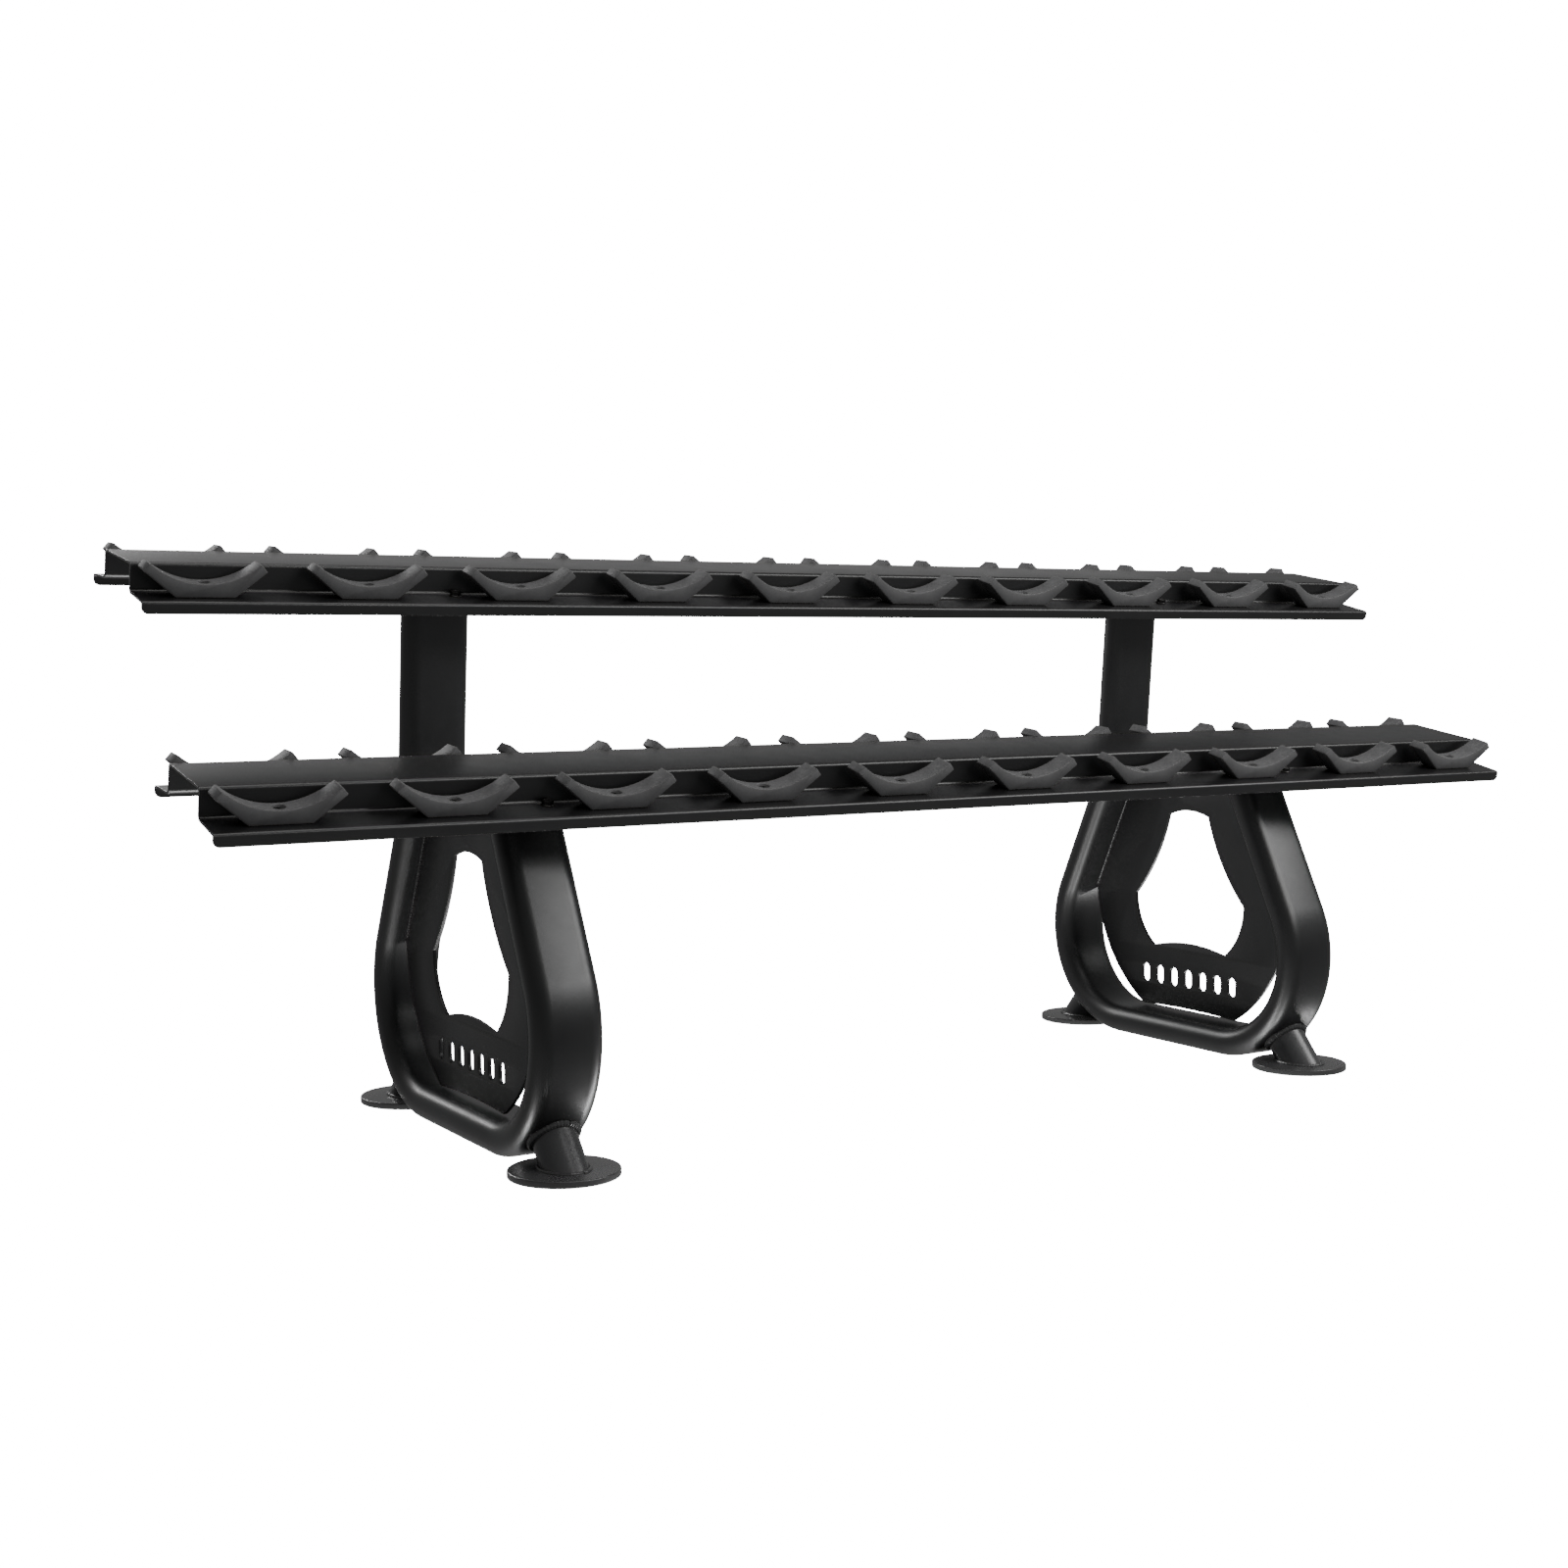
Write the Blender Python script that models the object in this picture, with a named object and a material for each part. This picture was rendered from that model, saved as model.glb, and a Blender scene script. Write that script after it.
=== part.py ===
"""Two-tier dumbbell rack.

Two long folded-sheet tiers, each carrying ten pairs of rubber saddles, are
bolted through cross brackets to two uprights. An upright is one flat-oval
tube: it comes down as the post behind the lower tier, bends round a flat
bottom and rises again as the front leg. A flat gusset plate fills its loop,
and two short round foot tubes carry its floor discs.

Axes: +X along the tiers, +Y towards the back, +Z up. The origin is on the
floor, midway between the uprights and midway between their feet.
"""
import math

import bmesh
import bpy
from mathutils import Matrix, Vector

# ---- Driving dimensions, in metres and radians -------------------------

# Tiers: a folded hat section, rear edge higher than the front edge
TIER_LENGTH = 2.300
TIER_TILT = math.radians(10.0)
TIER_SHEET = 0.003
TIER_TOP_HALF = 0.0716
TIER_WEB = 0.0396
TIER_FLANGE = 0.0660
TIER_DROOP = math.radians(4.0)
TIER_LIP = 0.0173
TIER_FOLD_RADIUS = 0.005
LOWER_TIER_Y = -0.172
LOWER_TIER_Z = 0.5535
UPPER_TIER_Y = 0.142
UPPER_TIER_Z = 0.8445
LEVELS = (("lower", LOWER_TIER_Y, LOWER_TIER_Z), ("upper", UPPER_TIER_Y, UPPER_TIER_Z))

# Saddles: extruded cradles screwed to the sloping flanges
SADDLES_PER_ROW = 10
SADDLE_END_MARGIN = 0.092
SADDLE_SEAT_RADIUS = 0.118
SADDLE_SEAT_HALF = 0.0765
SADDLE_MID_HEIGHT = 0.019
SADDLE_TIP_THICKNESS = 0.014
SADDLE_BASE_HALF = 0.041
SADDLE_DEPTH = 0.034
SADDLE_OFFSET = 0.0264
SCREW_HOLE_RADIUS = 0.0045
SCREW_BORE_RADIUS = 0.0095
SCREW_BORE_DEPTH = 0.009

# Uprights: flat-oval tube, bent on one centre line. They stand under a gap between
# two saddles, the one after this many saddles from the end, a little nearer the middle
UPRIGHT_AFTER_SADDLE = 2
UPRIGHT_SHIFT = 0.0243
TUBE_WIDTH = 0.104
TUBE_DEPTH = 0.049
TUBE_WALL = 0.003
LOOP_CORNER_Y = 0.3985
LOOP_LEAN = math.radians(26.8)
LOOP_BEND_RADIUS = 0.163
LOOP_FLOOR_GAP = 0.001
KNEE_Z = 0.462
KNEE_RADIUS = 0.147
POST_LEAN = math.radians(5.2)

# Gusset plates: flat-cut sheet between the legs of each loop
PLATE_THICKNESS = 0.006
PLATE_OUTBOARD = 0.012
PLATE_BELOW_TIER = 0.0735
PLATE_SHOULDER_DROP = 0.003
PLATE_ABOVE_TUBE = 0.0035
PLATE_BOTTOM_HALF = 0.1177
PLATE_BOTTOM_RISE = 0.004
PLATE_SIDE_BULGE = 0.0304
WINDOW_BELOW_PLATE_TOP = 0.072
WINDOW_TOP_HALF = 0.051
WINDOW_TOP_RISE = 0.009
WINDOW_WAIST_Z = 0.2565
WINDOW_WAIST_HALF = 0.141
WINDOW_SIDE_BOW = 0.011
WINDOW_ABOVE_VENTS = 0.0365
WINDOW_FOOT_HALF = 0.092
WINDOW_HIP_BULGE = 0.013
WINDOW_FOOT_RISE = 0.011
VENT_COUNT = 7
VENT_PITCH = 0.0375
VENT_WIDTH = 0.020
VENT_HEIGHT = 0.034
VENT_ABOVE_PLATE_FOOT = 0.058

# Feet: a round floor disc under a short tube square to the loop's bend
DISC_Y = 0.2864
DISC_RADIUS = 0.0775
DISC_THICKNESS = 0.010
DISC_CHAMFER = 0.0015
FOOT_TUBE_RADIUS = 0.032
FOOT_TUBE_WALL = 0.003

# Brackets: cross plates that follow the underside of a tier
BRACKET_WIDTH = 0.110
BRACKET_THICKNESS = 0.006
BRACKET_HALF_SPAN = 0.115
BOLT_OFFSET = 0.012
BOLT_HOLE_RADIUS = 0.0055

# Clearance between faces that touch
GAP = 0.0003

# How far a cutter runs past each face that it cuts
CUT_PAST = 0.006

# Points closer than this to the middle plane lie on it
ON_MIDDLE = 1e-9

# Facets round curved shapes
BEND_STEPS = 12
KNEE_STEPS = 3
OVAL_STEPS = 6
FOLD_STEPS = 2
SEAT_STEPS = 10
ARC_STEPS = 8
VENT_END_STEPS = 4
HOLE_SIDES = 10
DISC_SIDES = 40
FOOT_SIDES = 28
SHARP_ANGLE = math.radians(35.0)


# ---- Scene and mesh helpers --------------------------------------------

def clear_scene():
    for obj in list(bpy.data.objects):
        bpy.data.objects.remove(obj, do_unlink=True)


def make_material(name, colour, roughness, metallic):
    material = bpy.data.materials.new(name)
    material.use_nodes = True
    shader = material.node_tree.nodes["Principled BSDF"]
    shader.inputs["Base Color"].default_value = (*colour, 1.0)
    shader.inputs["Roughness"].default_value = roughness
    shader.inputs["Metallic"].default_value = metallic
    material.diffuse_color = (*colour, 1.0)
    return material


def add_object(name, mesh, material=None, matrix=None):
    obj = bpy.data.objects.new(name, mesh)
    bpy.context.scene.collection.objects.link(obj)
    if material is not None and not mesh.materials:
        mesh.materials.append(material)
    if matrix is not None:
        obj.matrix_world = matrix
    return obj


def mesh_from(name, build):
    """A mesh filled by build(bm), with its faces pointing out."""
    bm = bmesh.new()
    build(bm)
    bmesh.ops.recalc_face_normals(bm, faces=bm.faces)
    mesh = bpy.data.meshes.new(name)
    bm.to_mesh(mesh)
    bm.free()
    return mesh


def smooth(mesh):
    mesh.shade_smooth()
    mesh.set_sharp_from_angle(angle=SHARP_ANGLE)


def prism(bm, outline, low, high, axis="X"):
    """Extrude a closed outline of (a, b) points from low to high along an axis."""
    if axis == "X":
        points = [Vector((low, a, b)) for a, b in outline]
        step = Vector((high - low, 0.0, 0.0))
    elif axis == "Y":
        points = [Vector((a, low, b)) for a, b in outline]
        step = Vector((0.0, high - low, 0.0))
    else:
        points = [Vector((a, b, low)) for a, b in outline]
        step = Vector((0.0, 0.0, high - low))
    base = bm.faces.new([bm.verts.new(point) for point in points])
    grown = bmesh.ops.extrude_face_region(bm, geom=[base])
    moved = [item for item in grown["geom"] if isinstance(item, bmesh.types.BMVert)]
    bmesh.ops.translate(bm, vec=step, verts=moved)


def cylinder(bm, radius, low, high, sides):
    """A closed cylinder on the local Z axis."""
    circle = [polar(radius, 2.0 * math.pi * i / sides) for i in range(sides)]
    prism(bm, circle, low, high, axis="Z")


def polar(radius, angle, centre=(0.0, 0.0)):
    return (centre[0] + radius * math.cos(angle), centre[1] + radius * math.sin(angle))


def bowed(start, end, rise, steps=ARC_STEPS):
    """Arc from start to end, ends included, bulging to the right by rise."""
    ax, ay = start
    bx, by = end
    chord = math.hypot(bx - ax, by - ay)
    radius = (chord * chord / 4.0 + rise * rise) / (2.0 * abs(rise))
    side = math.copysign(1.0, rise)
    nx, ny = (by - ay) / chord * side, -(bx - ax) / chord * side
    inset = radius - abs(rise)
    cx, cy = (ax + bx) / 2.0 - nx * inset, (ay + by) / 2.0 - ny * inset
    half = math.asin(min(1.0, chord / (2.0 * radius)))
    middle = math.atan2(ny, nx)
    turn = [middle - side * half + side * 2.0 * half * i / steps for i in range(steps + 1)]
    return [polar(radius, angle, (cx, cy)) for angle in turn]


def add_cutter(name, mesh, matrix=None):
    cutter = add_object(name, mesh, None, matrix)
    cutter.hide_render = True
    cutter.display_type = "WIRE"
    return cutter


def cut(obj, cutter):
    modifier = obj.modifiers.new(cutter.name, "BOOLEAN")
    modifier.operation = "DIFFERENCE"
    modifier.solver = "EXACT"
    modifier.object = cutter


# ---- Rounded centre lines ----------------------------------------------

def rounded_path(corners, radii, steps):
    """Polyline through 2-D corners, each inner corner rounded to its radius."""
    path = [Vector(corners[0])]
    for here, radius, count in zip(range(1, len(corners) - 1), radii, steps):
        corner = Vector(corners[here])
        back = (Vector(corners[here - 1]) - corner).normalized()
        ahead = (Vector(corners[here + 1]) - corner).normalized()
        half = back.angle(ahead) / 2.0
        centre = corner + (back + ahead).normalized() * radius / math.sin(half)
        start = corner + back * radius / math.tan(half) - centre
        end = corner + ahead * radius / math.tan(half) - centre
        turn = start.angle_signed(end)
        for i in range(count + 1):
            spin = Matrix.Rotation(-turn * i / count, 2)
            path.append(centre + spin @ start)
    path.append(Vector(corners[-1]))
    return path


# ---- Tiers ---------------------------------------------------------------

FLANGE_EDGE = TIER_TOP_HALF + TIER_FLANGE
FLANGE_DROP = TIER_WEB + TIER_FLANGE * math.tan(TIER_DROOP)


def tier_frame(y, z):
    """Placing of a tier whose top plate's middle is at y, z."""
    return Matrix.Translation((0.0, y, z)) @ Matrix.Rotation(TIER_TILT, 4, "X")


def flange_frame(side, reach):
    """In the tier's frame: a point on the flange's top face, at reach from the web."""
    y = side * (TIER_TOP_HALF + reach)
    z = -TIER_WEB - reach * math.tan(TIER_DROOP)
    return Matrix.Translation((0.0, y, z)) @ Matrix.Rotation(-side * TIER_DROOP, 4, "X")


def saddle_positions():
    span = TIER_LENGTH - 2.0 * SADDLE_END_MARGIN
    pitch = span / (SADDLES_PER_ROW - 1)
    return [-span / 2.0 + pitch * i for i in range(SADDLES_PER_ROW)]


def upright_place():
    """Distance from the middle to an upright, measured from the saddles beside it."""
    positions = saddle_positions()
    outer = positions[-UPRIGHT_AFTER_SADDLE]
    inner = positions[-UPRIGHT_AFTER_SADDLE - 1]
    return (outer + inner) / 2.0 - UPRIGHT_SHIFT


UPRIGHT_X = upright_place()


def tier_mesh():
    corners = [
        (-FLANGE_EDGE, -FLANGE_DROP - TIER_LIP),
        (-FLANGE_EDGE, -FLANGE_DROP),
        (-TIER_TOP_HALF, -TIER_WEB),
        (-TIER_TOP_HALF, 0.0),
        (TIER_TOP_HALF, 0.0),
        (TIER_TOP_HALF, -TIER_WEB),
        (FLANGE_EDGE, -FLANGE_DROP),
        (FLANGE_EDGE, -FLANGE_DROP - TIER_LIP),
    ]
    folds = len(corners) - 2
    profile = rounded_path(corners, [TIER_FOLD_RADIUS] * folds, [FOLD_STEPS] * folds)

    def build(bm):
        ends = []
        for x in (-TIER_LENGTH / 2.0, TIER_LENGTH / 2.0):
            ends.append([bm.verts.new((x, y, z)) for y, z in profile])
        left, right = ends
        for i in range(len(profile) - 1):
            bm.faces.new((left[i], right[i], right[i + 1], left[i + 1]))

    mesh = mesh_from("tier_beam", build)
    if mesh.polygons[len(mesh.polygons) // 2].normal.z < 0.0:
        mesh.flip_normals()
    return mesh


def hole_cutter_mesh():
    """Every fixing hole of a tier: one under each saddle, one for each bolt."""
    depth = TIER_SHEET + CUT_PAST

    def build(bm):
        for side in (-1, 1):
            for x in saddle_positions():
                placed = Matrix.Translation((x, 0.0, 0.0)) @ flange_frame(side, SADDLE_OFFSET)
                add_hole(bm, SCREW_HOLE_RADIUS, depth, placed)
            for x in (-UPRIGHT_X, UPRIGHT_X):
                placed = Matrix.Translation((x, 0.0, 0.0)) @ flange_frame(side, BOLT_OFFSET)
                add_hole(bm, BOLT_HOLE_RADIUS, depth, placed)

    return mesh_from("tier_holes", build)


def add_hole(bm, radius, depth, matrix):
    """A closed cylinder, depth above and below the placed origin."""
    before = set(bm.verts)
    cylinder(bm, radius, -depth, depth, HOLE_SIDES)
    fresh = [vert for vert in bm.verts if vert not in before]
    bmesh.ops.transform(bm, matrix=matrix, verts=fresh)


def build_tiers(steel, rubber):
    beam = tier_mesh()
    holes = hole_cutter_mesh()
    saddle = saddle_mesh()
    for level, y, z in LEVELS:
        placed = tier_frame(y, z)
        tier = add_object(f"{level}_tier", beam, steel, placed)
        shell = tier.modifiers.new("sheet", "SOLIDIFY")
        shell.thickness = TIER_SHEET
        shell.offset = -1.0
        shell.use_even_offset = True
        cut(tier, add_cutter(f"{level}_tier_holes", holes, placed))
        build_saddles(level, placed, saddle, rubber)


# ---- Saddles -------------------------------------------------------------

def saddle_mesh():
    half_angle = math.asin(SADDLE_SEAT_HALF / SADDLE_SEAT_RADIUS)
    centre = (0.0, SADDLE_MID_HEIGHT + SADDLE_SEAT_RADIUS)
    seat = []
    for i in range(SEAT_STEPS + 1):
        angle = -math.pi / 2.0 - half_angle + 2.0 * half_angle * i / SEAT_STEPS
        seat.append(polar(SADDLE_SEAT_RADIUS, angle, centre))
    tip = SADDLE_SEAT_RADIUS + SADDLE_TIP_THICKNESS
    right = polar(tip, -math.pi / 2.0 + half_angle, centre)
    left = polar(tip, -math.pi / 2.0 - half_angle, centre)
    outline = seat + [right, (SADDLE_BASE_HALF, 0.0), (-SADDLE_BASE_HALF, 0.0), left]

    def build(bm):
        prism(bm, outline, -SADDLE_DEPTH / 2.0, SADDLE_DEPTH / 2.0, axis="Y")

    return mesh_from("saddle", build)


def screw_cutter_mesh():
    """A stepped bore: screw clearance below, socket for the head above."""
    top = SADDLE_MID_HEIGHT + CUT_PAST
    shelf = SADDLE_MID_HEIGHT - SCREW_BORE_DEPTH
    rings = (
        (SCREW_HOLE_RADIUS, -CUT_PAST),
        (SCREW_HOLE_RADIUS, shelf),
        (SCREW_BORE_RADIUS, shelf),
        (SCREW_BORE_RADIUS, top),
    )

    def build(bm):
        loops = []
        for radius, z in rings:
            circle = [polar(radius, 2.0 * math.pi * i / HOLE_SIDES) for i in range(HOLE_SIDES)]
            loops.append([bm.verts.new((x, y, z)) for x, y in circle])
        bm.faces.new(list(reversed(loops[0])))
        bm.faces.new(loops[-1])
        for low, high in zip(loops, loops[1:]):
            for i in range(HOLE_SIDES):
                j = (i + 1) % HOLE_SIDES
                bm.faces.new((low[i], low[j], high[j], high[i]))

    return mesh_from("saddle_bore", build)


def build_saddles(level, placed, saddle, rubber):
    bore = screw_cutter_mesh()
    for side, row in ((-1, "front"), (1, "rear")):
        seat = placed @ flange_frame(side, SADDLE_OFFSET) @ Matrix.Translation((0.0, 0.0, GAP))
        for number, x in enumerate(saddle_positions(), start=1):
            name = f"saddle_{level}_{row}_{number:02d}"
            matrix = Matrix.Translation((x, 0.0, 0.0)) @ seat
            pad = add_object(name, saddle, rubber, matrix)
            cut(pad, add_cutter(f"{name}_bore", bore, matrix))


# ---- Uprights --------------------------------------------------------------

LOOP_BOTTOM_Z = LOOP_FLOOR_GAP + TUBE_DEPTH / 2.0
BEND_TANGENT = LOOP_BEND_RADIUS / math.tan((math.pi / 2.0 - LOOP_LEAN) / 2.0)
BEND_CENTRE_Y = LOOP_CORNER_Y - BEND_TANGENT
BEND_CENTRE_Z = LOOP_BOTTOM_Z + LOOP_BEND_RADIUS
BEND_END_Z = BEND_CENTRE_Z + LOOP_BEND_RADIUS * math.sin(LOOP_LEAN)


def leg_y(z):
    """Distance from the loop's middle to a leg's centre line at height z."""
    return LOOP_CORNER_Y - (z - LOOP_BOTTOM_Z) * math.tan(LOOP_LEAN)


def loop_inside_z(y):
    """Height of the loop's inner face at y: level at first, then rising with the bend."""
    inside = LOOP_BEND_RADIUS - TUBE_DEPTH / 2.0
    into_bend = max(0.0, y - BEND_CENTRE_Y)
    return BEND_CENTRE_Z - math.sqrt(inside * inside - into_bend * into_bend)


def bracket_underside(y, z):
    """A point and the normal of the face that a tube's end is cut to."""
    drop = TIER_WEB + TIER_SHEET + GAP + BRACKET_THICKNESS + GAP
    frame = tier_frame(y, z)
    point = frame @ Vector((0.0, 0.0, -drop))
    normal = frame.to_3x3() @ Vector((0.0, 0.0, 1.0))
    return Vector((point.y, point.z)), Vector((normal.y, normal.z))


def where_meets(start, direction, point, normal):
    """Where a 2-D line meets a 2-D plane."""
    return start + direction * ((point - start).dot(normal) / direction.dot(normal))


def loop_path():
    """Centre line in (y, z), from the front leg's end round to the post's end."""
    front = Vector((-LOOP_CORNER_Y, LOOP_BOTTOM_Z))
    rear = Vector((LOOP_CORNER_Y, LOOP_BOTTOM_Z))
    knee = Vector((leg_y(KNEE_Z), KNEE_Z))
    up_front = Vector((math.sin(LOOP_LEAN), math.cos(LOOP_LEAN)))
    up_post = Vector((-math.sin(POST_LEAN), math.cos(POST_LEAN)))
    start = where_meets(front, up_front, *bracket_underside(LOWER_TIER_Y, LOWER_TIER_Z))
    end = where_meets(knee, up_post, *bracket_underside(UPPER_TIER_Y, UPPER_TIER_Z))
    corners = [start, front, rear, knee, end]
    radii = [LOOP_BEND_RADIUS, LOOP_BEND_RADIUS, KNEE_RADIUS]
    return rounded_path(corners, radii, [BEND_STEPS, BEND_STEPS, KNEE_STEPS])


def oval(width, depth):
    """Flat-oval section: (along X, across the wall) points."""
    radius = depth / 2.0
    flat = width / 2.0 - radius
    points = []
    for centre, first in ((flat, -math.pi / 2.0), (-flat, math.pi / 2.0)):
        for i in range(OVAL_STEPS + 1):
            points.append(polar(radius, first + math.pi * i / OVAL_STEPS, (centre, 0.0)))
    return points


def add_sweep(bm, section, path, end_planes):
    """Rings of the section along the path. Its first and last rings lie on planes."""
    rings = []
    last = len(path) - 1
    for i, centre in enumerate(path):
        into = (centre - path[i - 1]).normalized() if i > 0 else None
        away = (path[i + 1] - centre).normalized() if i < last else None
        along = into or away
        if into is not None and away is not None:
            along = (into + away).normalized()
        across = Vector((-along.y, along.x))
        stretch = 1.0
        if into is not None and away is not None:
            stretch = 1.0 / math.cos(into.angle(away) / 2.0)
        ring = []
        for x, offset in section:
            point = centre + across * offset * stretch
            if i in end_planes:
                point = where_meets(point, along, *end_planes[i])
            ring.append(bm.verts.new((x, point.x, point.y)))
        rings.append(ring)
    count = len(section)
    for low, high in zip(rings, rings[1:]):
        for i in range(count):
            j = (i + 1) % count
            bm.faces.new((low[i], low[j], high[j], high[i]))
    return rings[0], rings[-1]


def bridge(bm, outer, inner):
    count = len(outer)
    for i in range(count):
        j = (i + 1) % count
        bm.faces.new((outer[i], outer[j], inner[j], inner[i]))


def upright_mesh():
    path = loop_path()
    planes = {
        0: bracket_underside(LOWER_TIER_Y, LOWER_TIER_Z),
        len(path) - 1: bracket_underside(UPPER_TIER_Y, UPPER_TIER_Z),
    }

    def build(bm):
        outer = add_sweep(bm, oval(TUBE_WIDTH, TUBE_DEPTH), path, planes)
        bore = oval(TUBE_WIDTH - 2.0 * TUBE_WALL, TUBE_DEPTH - 2.0 * TUBE_WALL)
        inner = add_sweep(bm, bore, path, planes)
        bridge(bm, outer[0], inner[0])
        bridge(bm, outer[1], inner[1])

    mesh = mesh_from("upright_tube", build)
    smooth(mesh)
    return mesh


def upright_clearance_mesh():
    """The upright's outer shape, one gap larger, that the foot tubes are coped to."""
    path = loop_path()

    def build(bm):
        ends = add_sweep(bm, oval(TUBE_WIDTH + 2.0 * GAP, TUBE_DEPTH + 2.0 * GAP), path, {})
        for ring in ends:
            bm.faces.new(ring)

    return mesh_from("upright_clearance", build)


# ---- Gusset plates -----------------------------------------------------------

# Heights that follow the tube, the bend and the lower tier
PLATE_TOP_Z = LOWER_TIER_Z - PLATE_BELOW_TIER
PLATE_LEAVES_LEG_Z = BEND_END_Z - PLATE_SHOULDER_DROP
PLATE_BOTTOM_Z = loop_inside_z(PLATE_BOTTOM_HALF) + PLATE_ABOVE_TUBE
VENT_Z = PLATE_BOTTOM_Z + VENT_ABOVE_PLATE_FOOT
WINDOW_FOOT_Z = VENT_Z + VENT_HEIGHT / 2.0 + WINDOW_ABOVE_VENTS
WINDOW_TOP_Z = PLATE_TOP_Z - WINDOW_BELOW_PLATE_TOP


def mirrored(half):
    """Close a half outline, given from its bottom to its top at +Y, across Y = 0."""
    return half + [(-y, z) for y, z in reversed(half) if y > ON_MIDDLE]


def plate_outline():
    face = (TUBE_DEPTH / 2.0 + GAP) / math.cos(LOOP_LEAN)
    corner = (PLATE_BOTTOM_HALF, PLATE_BOTTOM_Z)
    bottom = bowed((-PLATE_BOTTOM_HALF, PLATE_BOTTOM_Z), corner, -PLATE_BOTTOM_RISE)
    half = [point for point in bottom if point[0] >= -ON_MIDDLE]
    shoulder = (leg_y(PLATE_LEAVES_LEG_Z) - face, PLATE_LEAVES_LEG_Z)
    half += bowed(corner, shoulder, PLATE_SIDE_BULGE)[1:]
    half.append((leg_y(PLATE_TOP_Z) - face, PLATE_TOP_Z))
    return mirrored(half)


def window_outline():
    foot = (WINDOW_FOOT_HALF, WINDOW_FOOT_Z)
    waist = (WINDOW_WAIST_HALF, WINDOW_WAIST_Z)
    head = (WINDOW_TOP_HALF, WINDOW_TOP_Z)
    sill = bowed((-WINDOW_FOOT_HALF, WINDOW_FOOT_Z), foot, -WINDOW_FOOT_RISE)
    half = [point for point in sill if point[0] >= -ON_MIDDLE]
    half += bowed(foot, waist, WINDOW_HIP_BULGE)[1:]
    half += bowed(waist, head, -WINDOW_SIDE_BOW)[1:]
    crown = bowed(head, (-WINDOW_TOP_HALF, WINDOW_TOP_Z), WINDOW_TOP_RISE)
    half += [point for point in crown[1:] if point[0] >= -ON_MIDDLE]
    return mirrored(half)


def vent_outline(y):
    """A plain upright slot with round ends."""
    radius = VENT_WIDTH / 2.0
    straight = VENT_HEIGHT / 2.0 - radius
    points = []
    for centre, first in ((straight, 0.0), (-straight, math.pi)):
        for i in range(VENT_END_STEPS + 1):
            turn = first + math.pi * i / VENT_END_STEPS
            points.append(polar(radius, turn, (y, VENT_Z + centre)))
    return points


def build_plate(name, x, material):
    def plate(bm):
        prism(bm, plate_outline(), -PLATE_THICKNESS / 2.0, PLATE_THICKNESS / 2.0)

    past = PLATE_THICKNESS / 2.0 + CUT_PAST

    def openings(bm):
        prism(bm, window_outline(), -past, past)
        for i in range(VENT_COUNT):
            y = (i - (VENT_COUNT - 1) / 2.0) * VENT_PITCH
            prism(bm, vent_outline(y), -past, past)

    placed = Matrix.Translation((x, 0.0, 0.0))
    obj = add_object(name, mesh_from(name, plate), material, placed)
    cut(obj, add_cutter(f"{name}_openings", mesh_from(f"{name}_openings", openings), placed))


# ---- Feet ----------------------------------------------------------------------

def disc_mesh():
    """A floor disc with chamfered rims, its underside on the floor."""
    rings = (
        (DISC_RADIUS - DISC_CHAMFER, 0.0),
        (DISC_RADIUS, DISC_CHAMFER),
        (DISC_RADIUS, DISC_THICKNESS - DISC_CHAMFER),
        (DISC_RADIUS - DISC_CHAMFER, DISC_THICKNESS),
    )

    def build(bm):
        loops = []
        for radius, z in rings:
            circle = [polar(radius, 2.0 * math.pi * i / DISC_SIDES) for i in range(DISC_SIDES)]
            loops.append([bm.verts.new((x, y, z)) for x, y in circle])
        bm.faces.new(list(reversed(loops[0])))
        bm.faces.new(loops[-1])
        for low, high in zip(loops, loops[1:]):
            for i in range(DISC_SIDES):
                j = (i + 1) % DISC_SIDES
                bm.faces.new((low[i], low[j], high[j], high[i]))

    mesh = mesh_from("foot_disc", build)
    smooth(mesh)
    return mesh


def foot_tube_mesh(side):
    """A tube on the line from the disc's middle to the bend's centre, cut level below."""
    top = DISC_THICKNESS + GAP
    base = Vector((0.0, side * DISC_Y, top))
    to_bend = Vector((0.0, side * BEND_CENTRE_Y, BEND_CENTRE_Z)) - base
    axis = to_bend.normalized()
    across = Vector((1.0, 0.0, 0.0))
    third = axis.cross(across)
    reach = to_bend.length - LOOP_BEND_RADIUS

    def build(bm):
        walls = []
        for radius in (FOOT_TUBE_RADIUS, FOOT_TUBE_RADIUS - FOOT_TUBE_WALL):
            low = []
            high = []
            for i in range(FOOT_SIDES):
                a, b = polar(radius, 2.0 * math.pi * i / FOOT_SIDES)
                line = base + across * a + third * b
                low.append(bm.verts.new(line + axis * ((top - line.z) / axis.z)))
                high.append(bm.verts.new(line + axis * reach))
            bridge(bm, low, high)
            walls.append((low, high))
        bridge(bm, walls[0][0], walls[1][0])
        bridge(bm, walls[0][1], walls[1][1])

    mesh = mesh_from("foot_tube", build)
    smooth(mesh)
    return mesh


# ---- Brackets --------------------------------------------------------------------

def bracket_mesh():
    """A cross plate whose wings slope with the flanges above it."""
    top = -TIER_WEB - TIER_SHEET - GAP
    wing = (BRACKET_HALF_SPAN - TIER_TOP_HALF) * math.tan(TIER_DROOP)
    upper = [
        (-BRACKET_HALF_SPAN, top - wing),
        (-TIER_TOP_HALF, top),
        (TIER_TOP_HALF, top),
        (BRACKET_HALF_SPAN, top - wing),
    ]
    lower = [(y, z - BRACKET_THICKNESS) for y, z in reversed(upper)]

    def build(bm):
        prism(bm, upper + lower, -BRACKET_WIDTH / 2.0, BRACKET_WIDTH / 2.0)

    return mesh_from("bracket", build)


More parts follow.
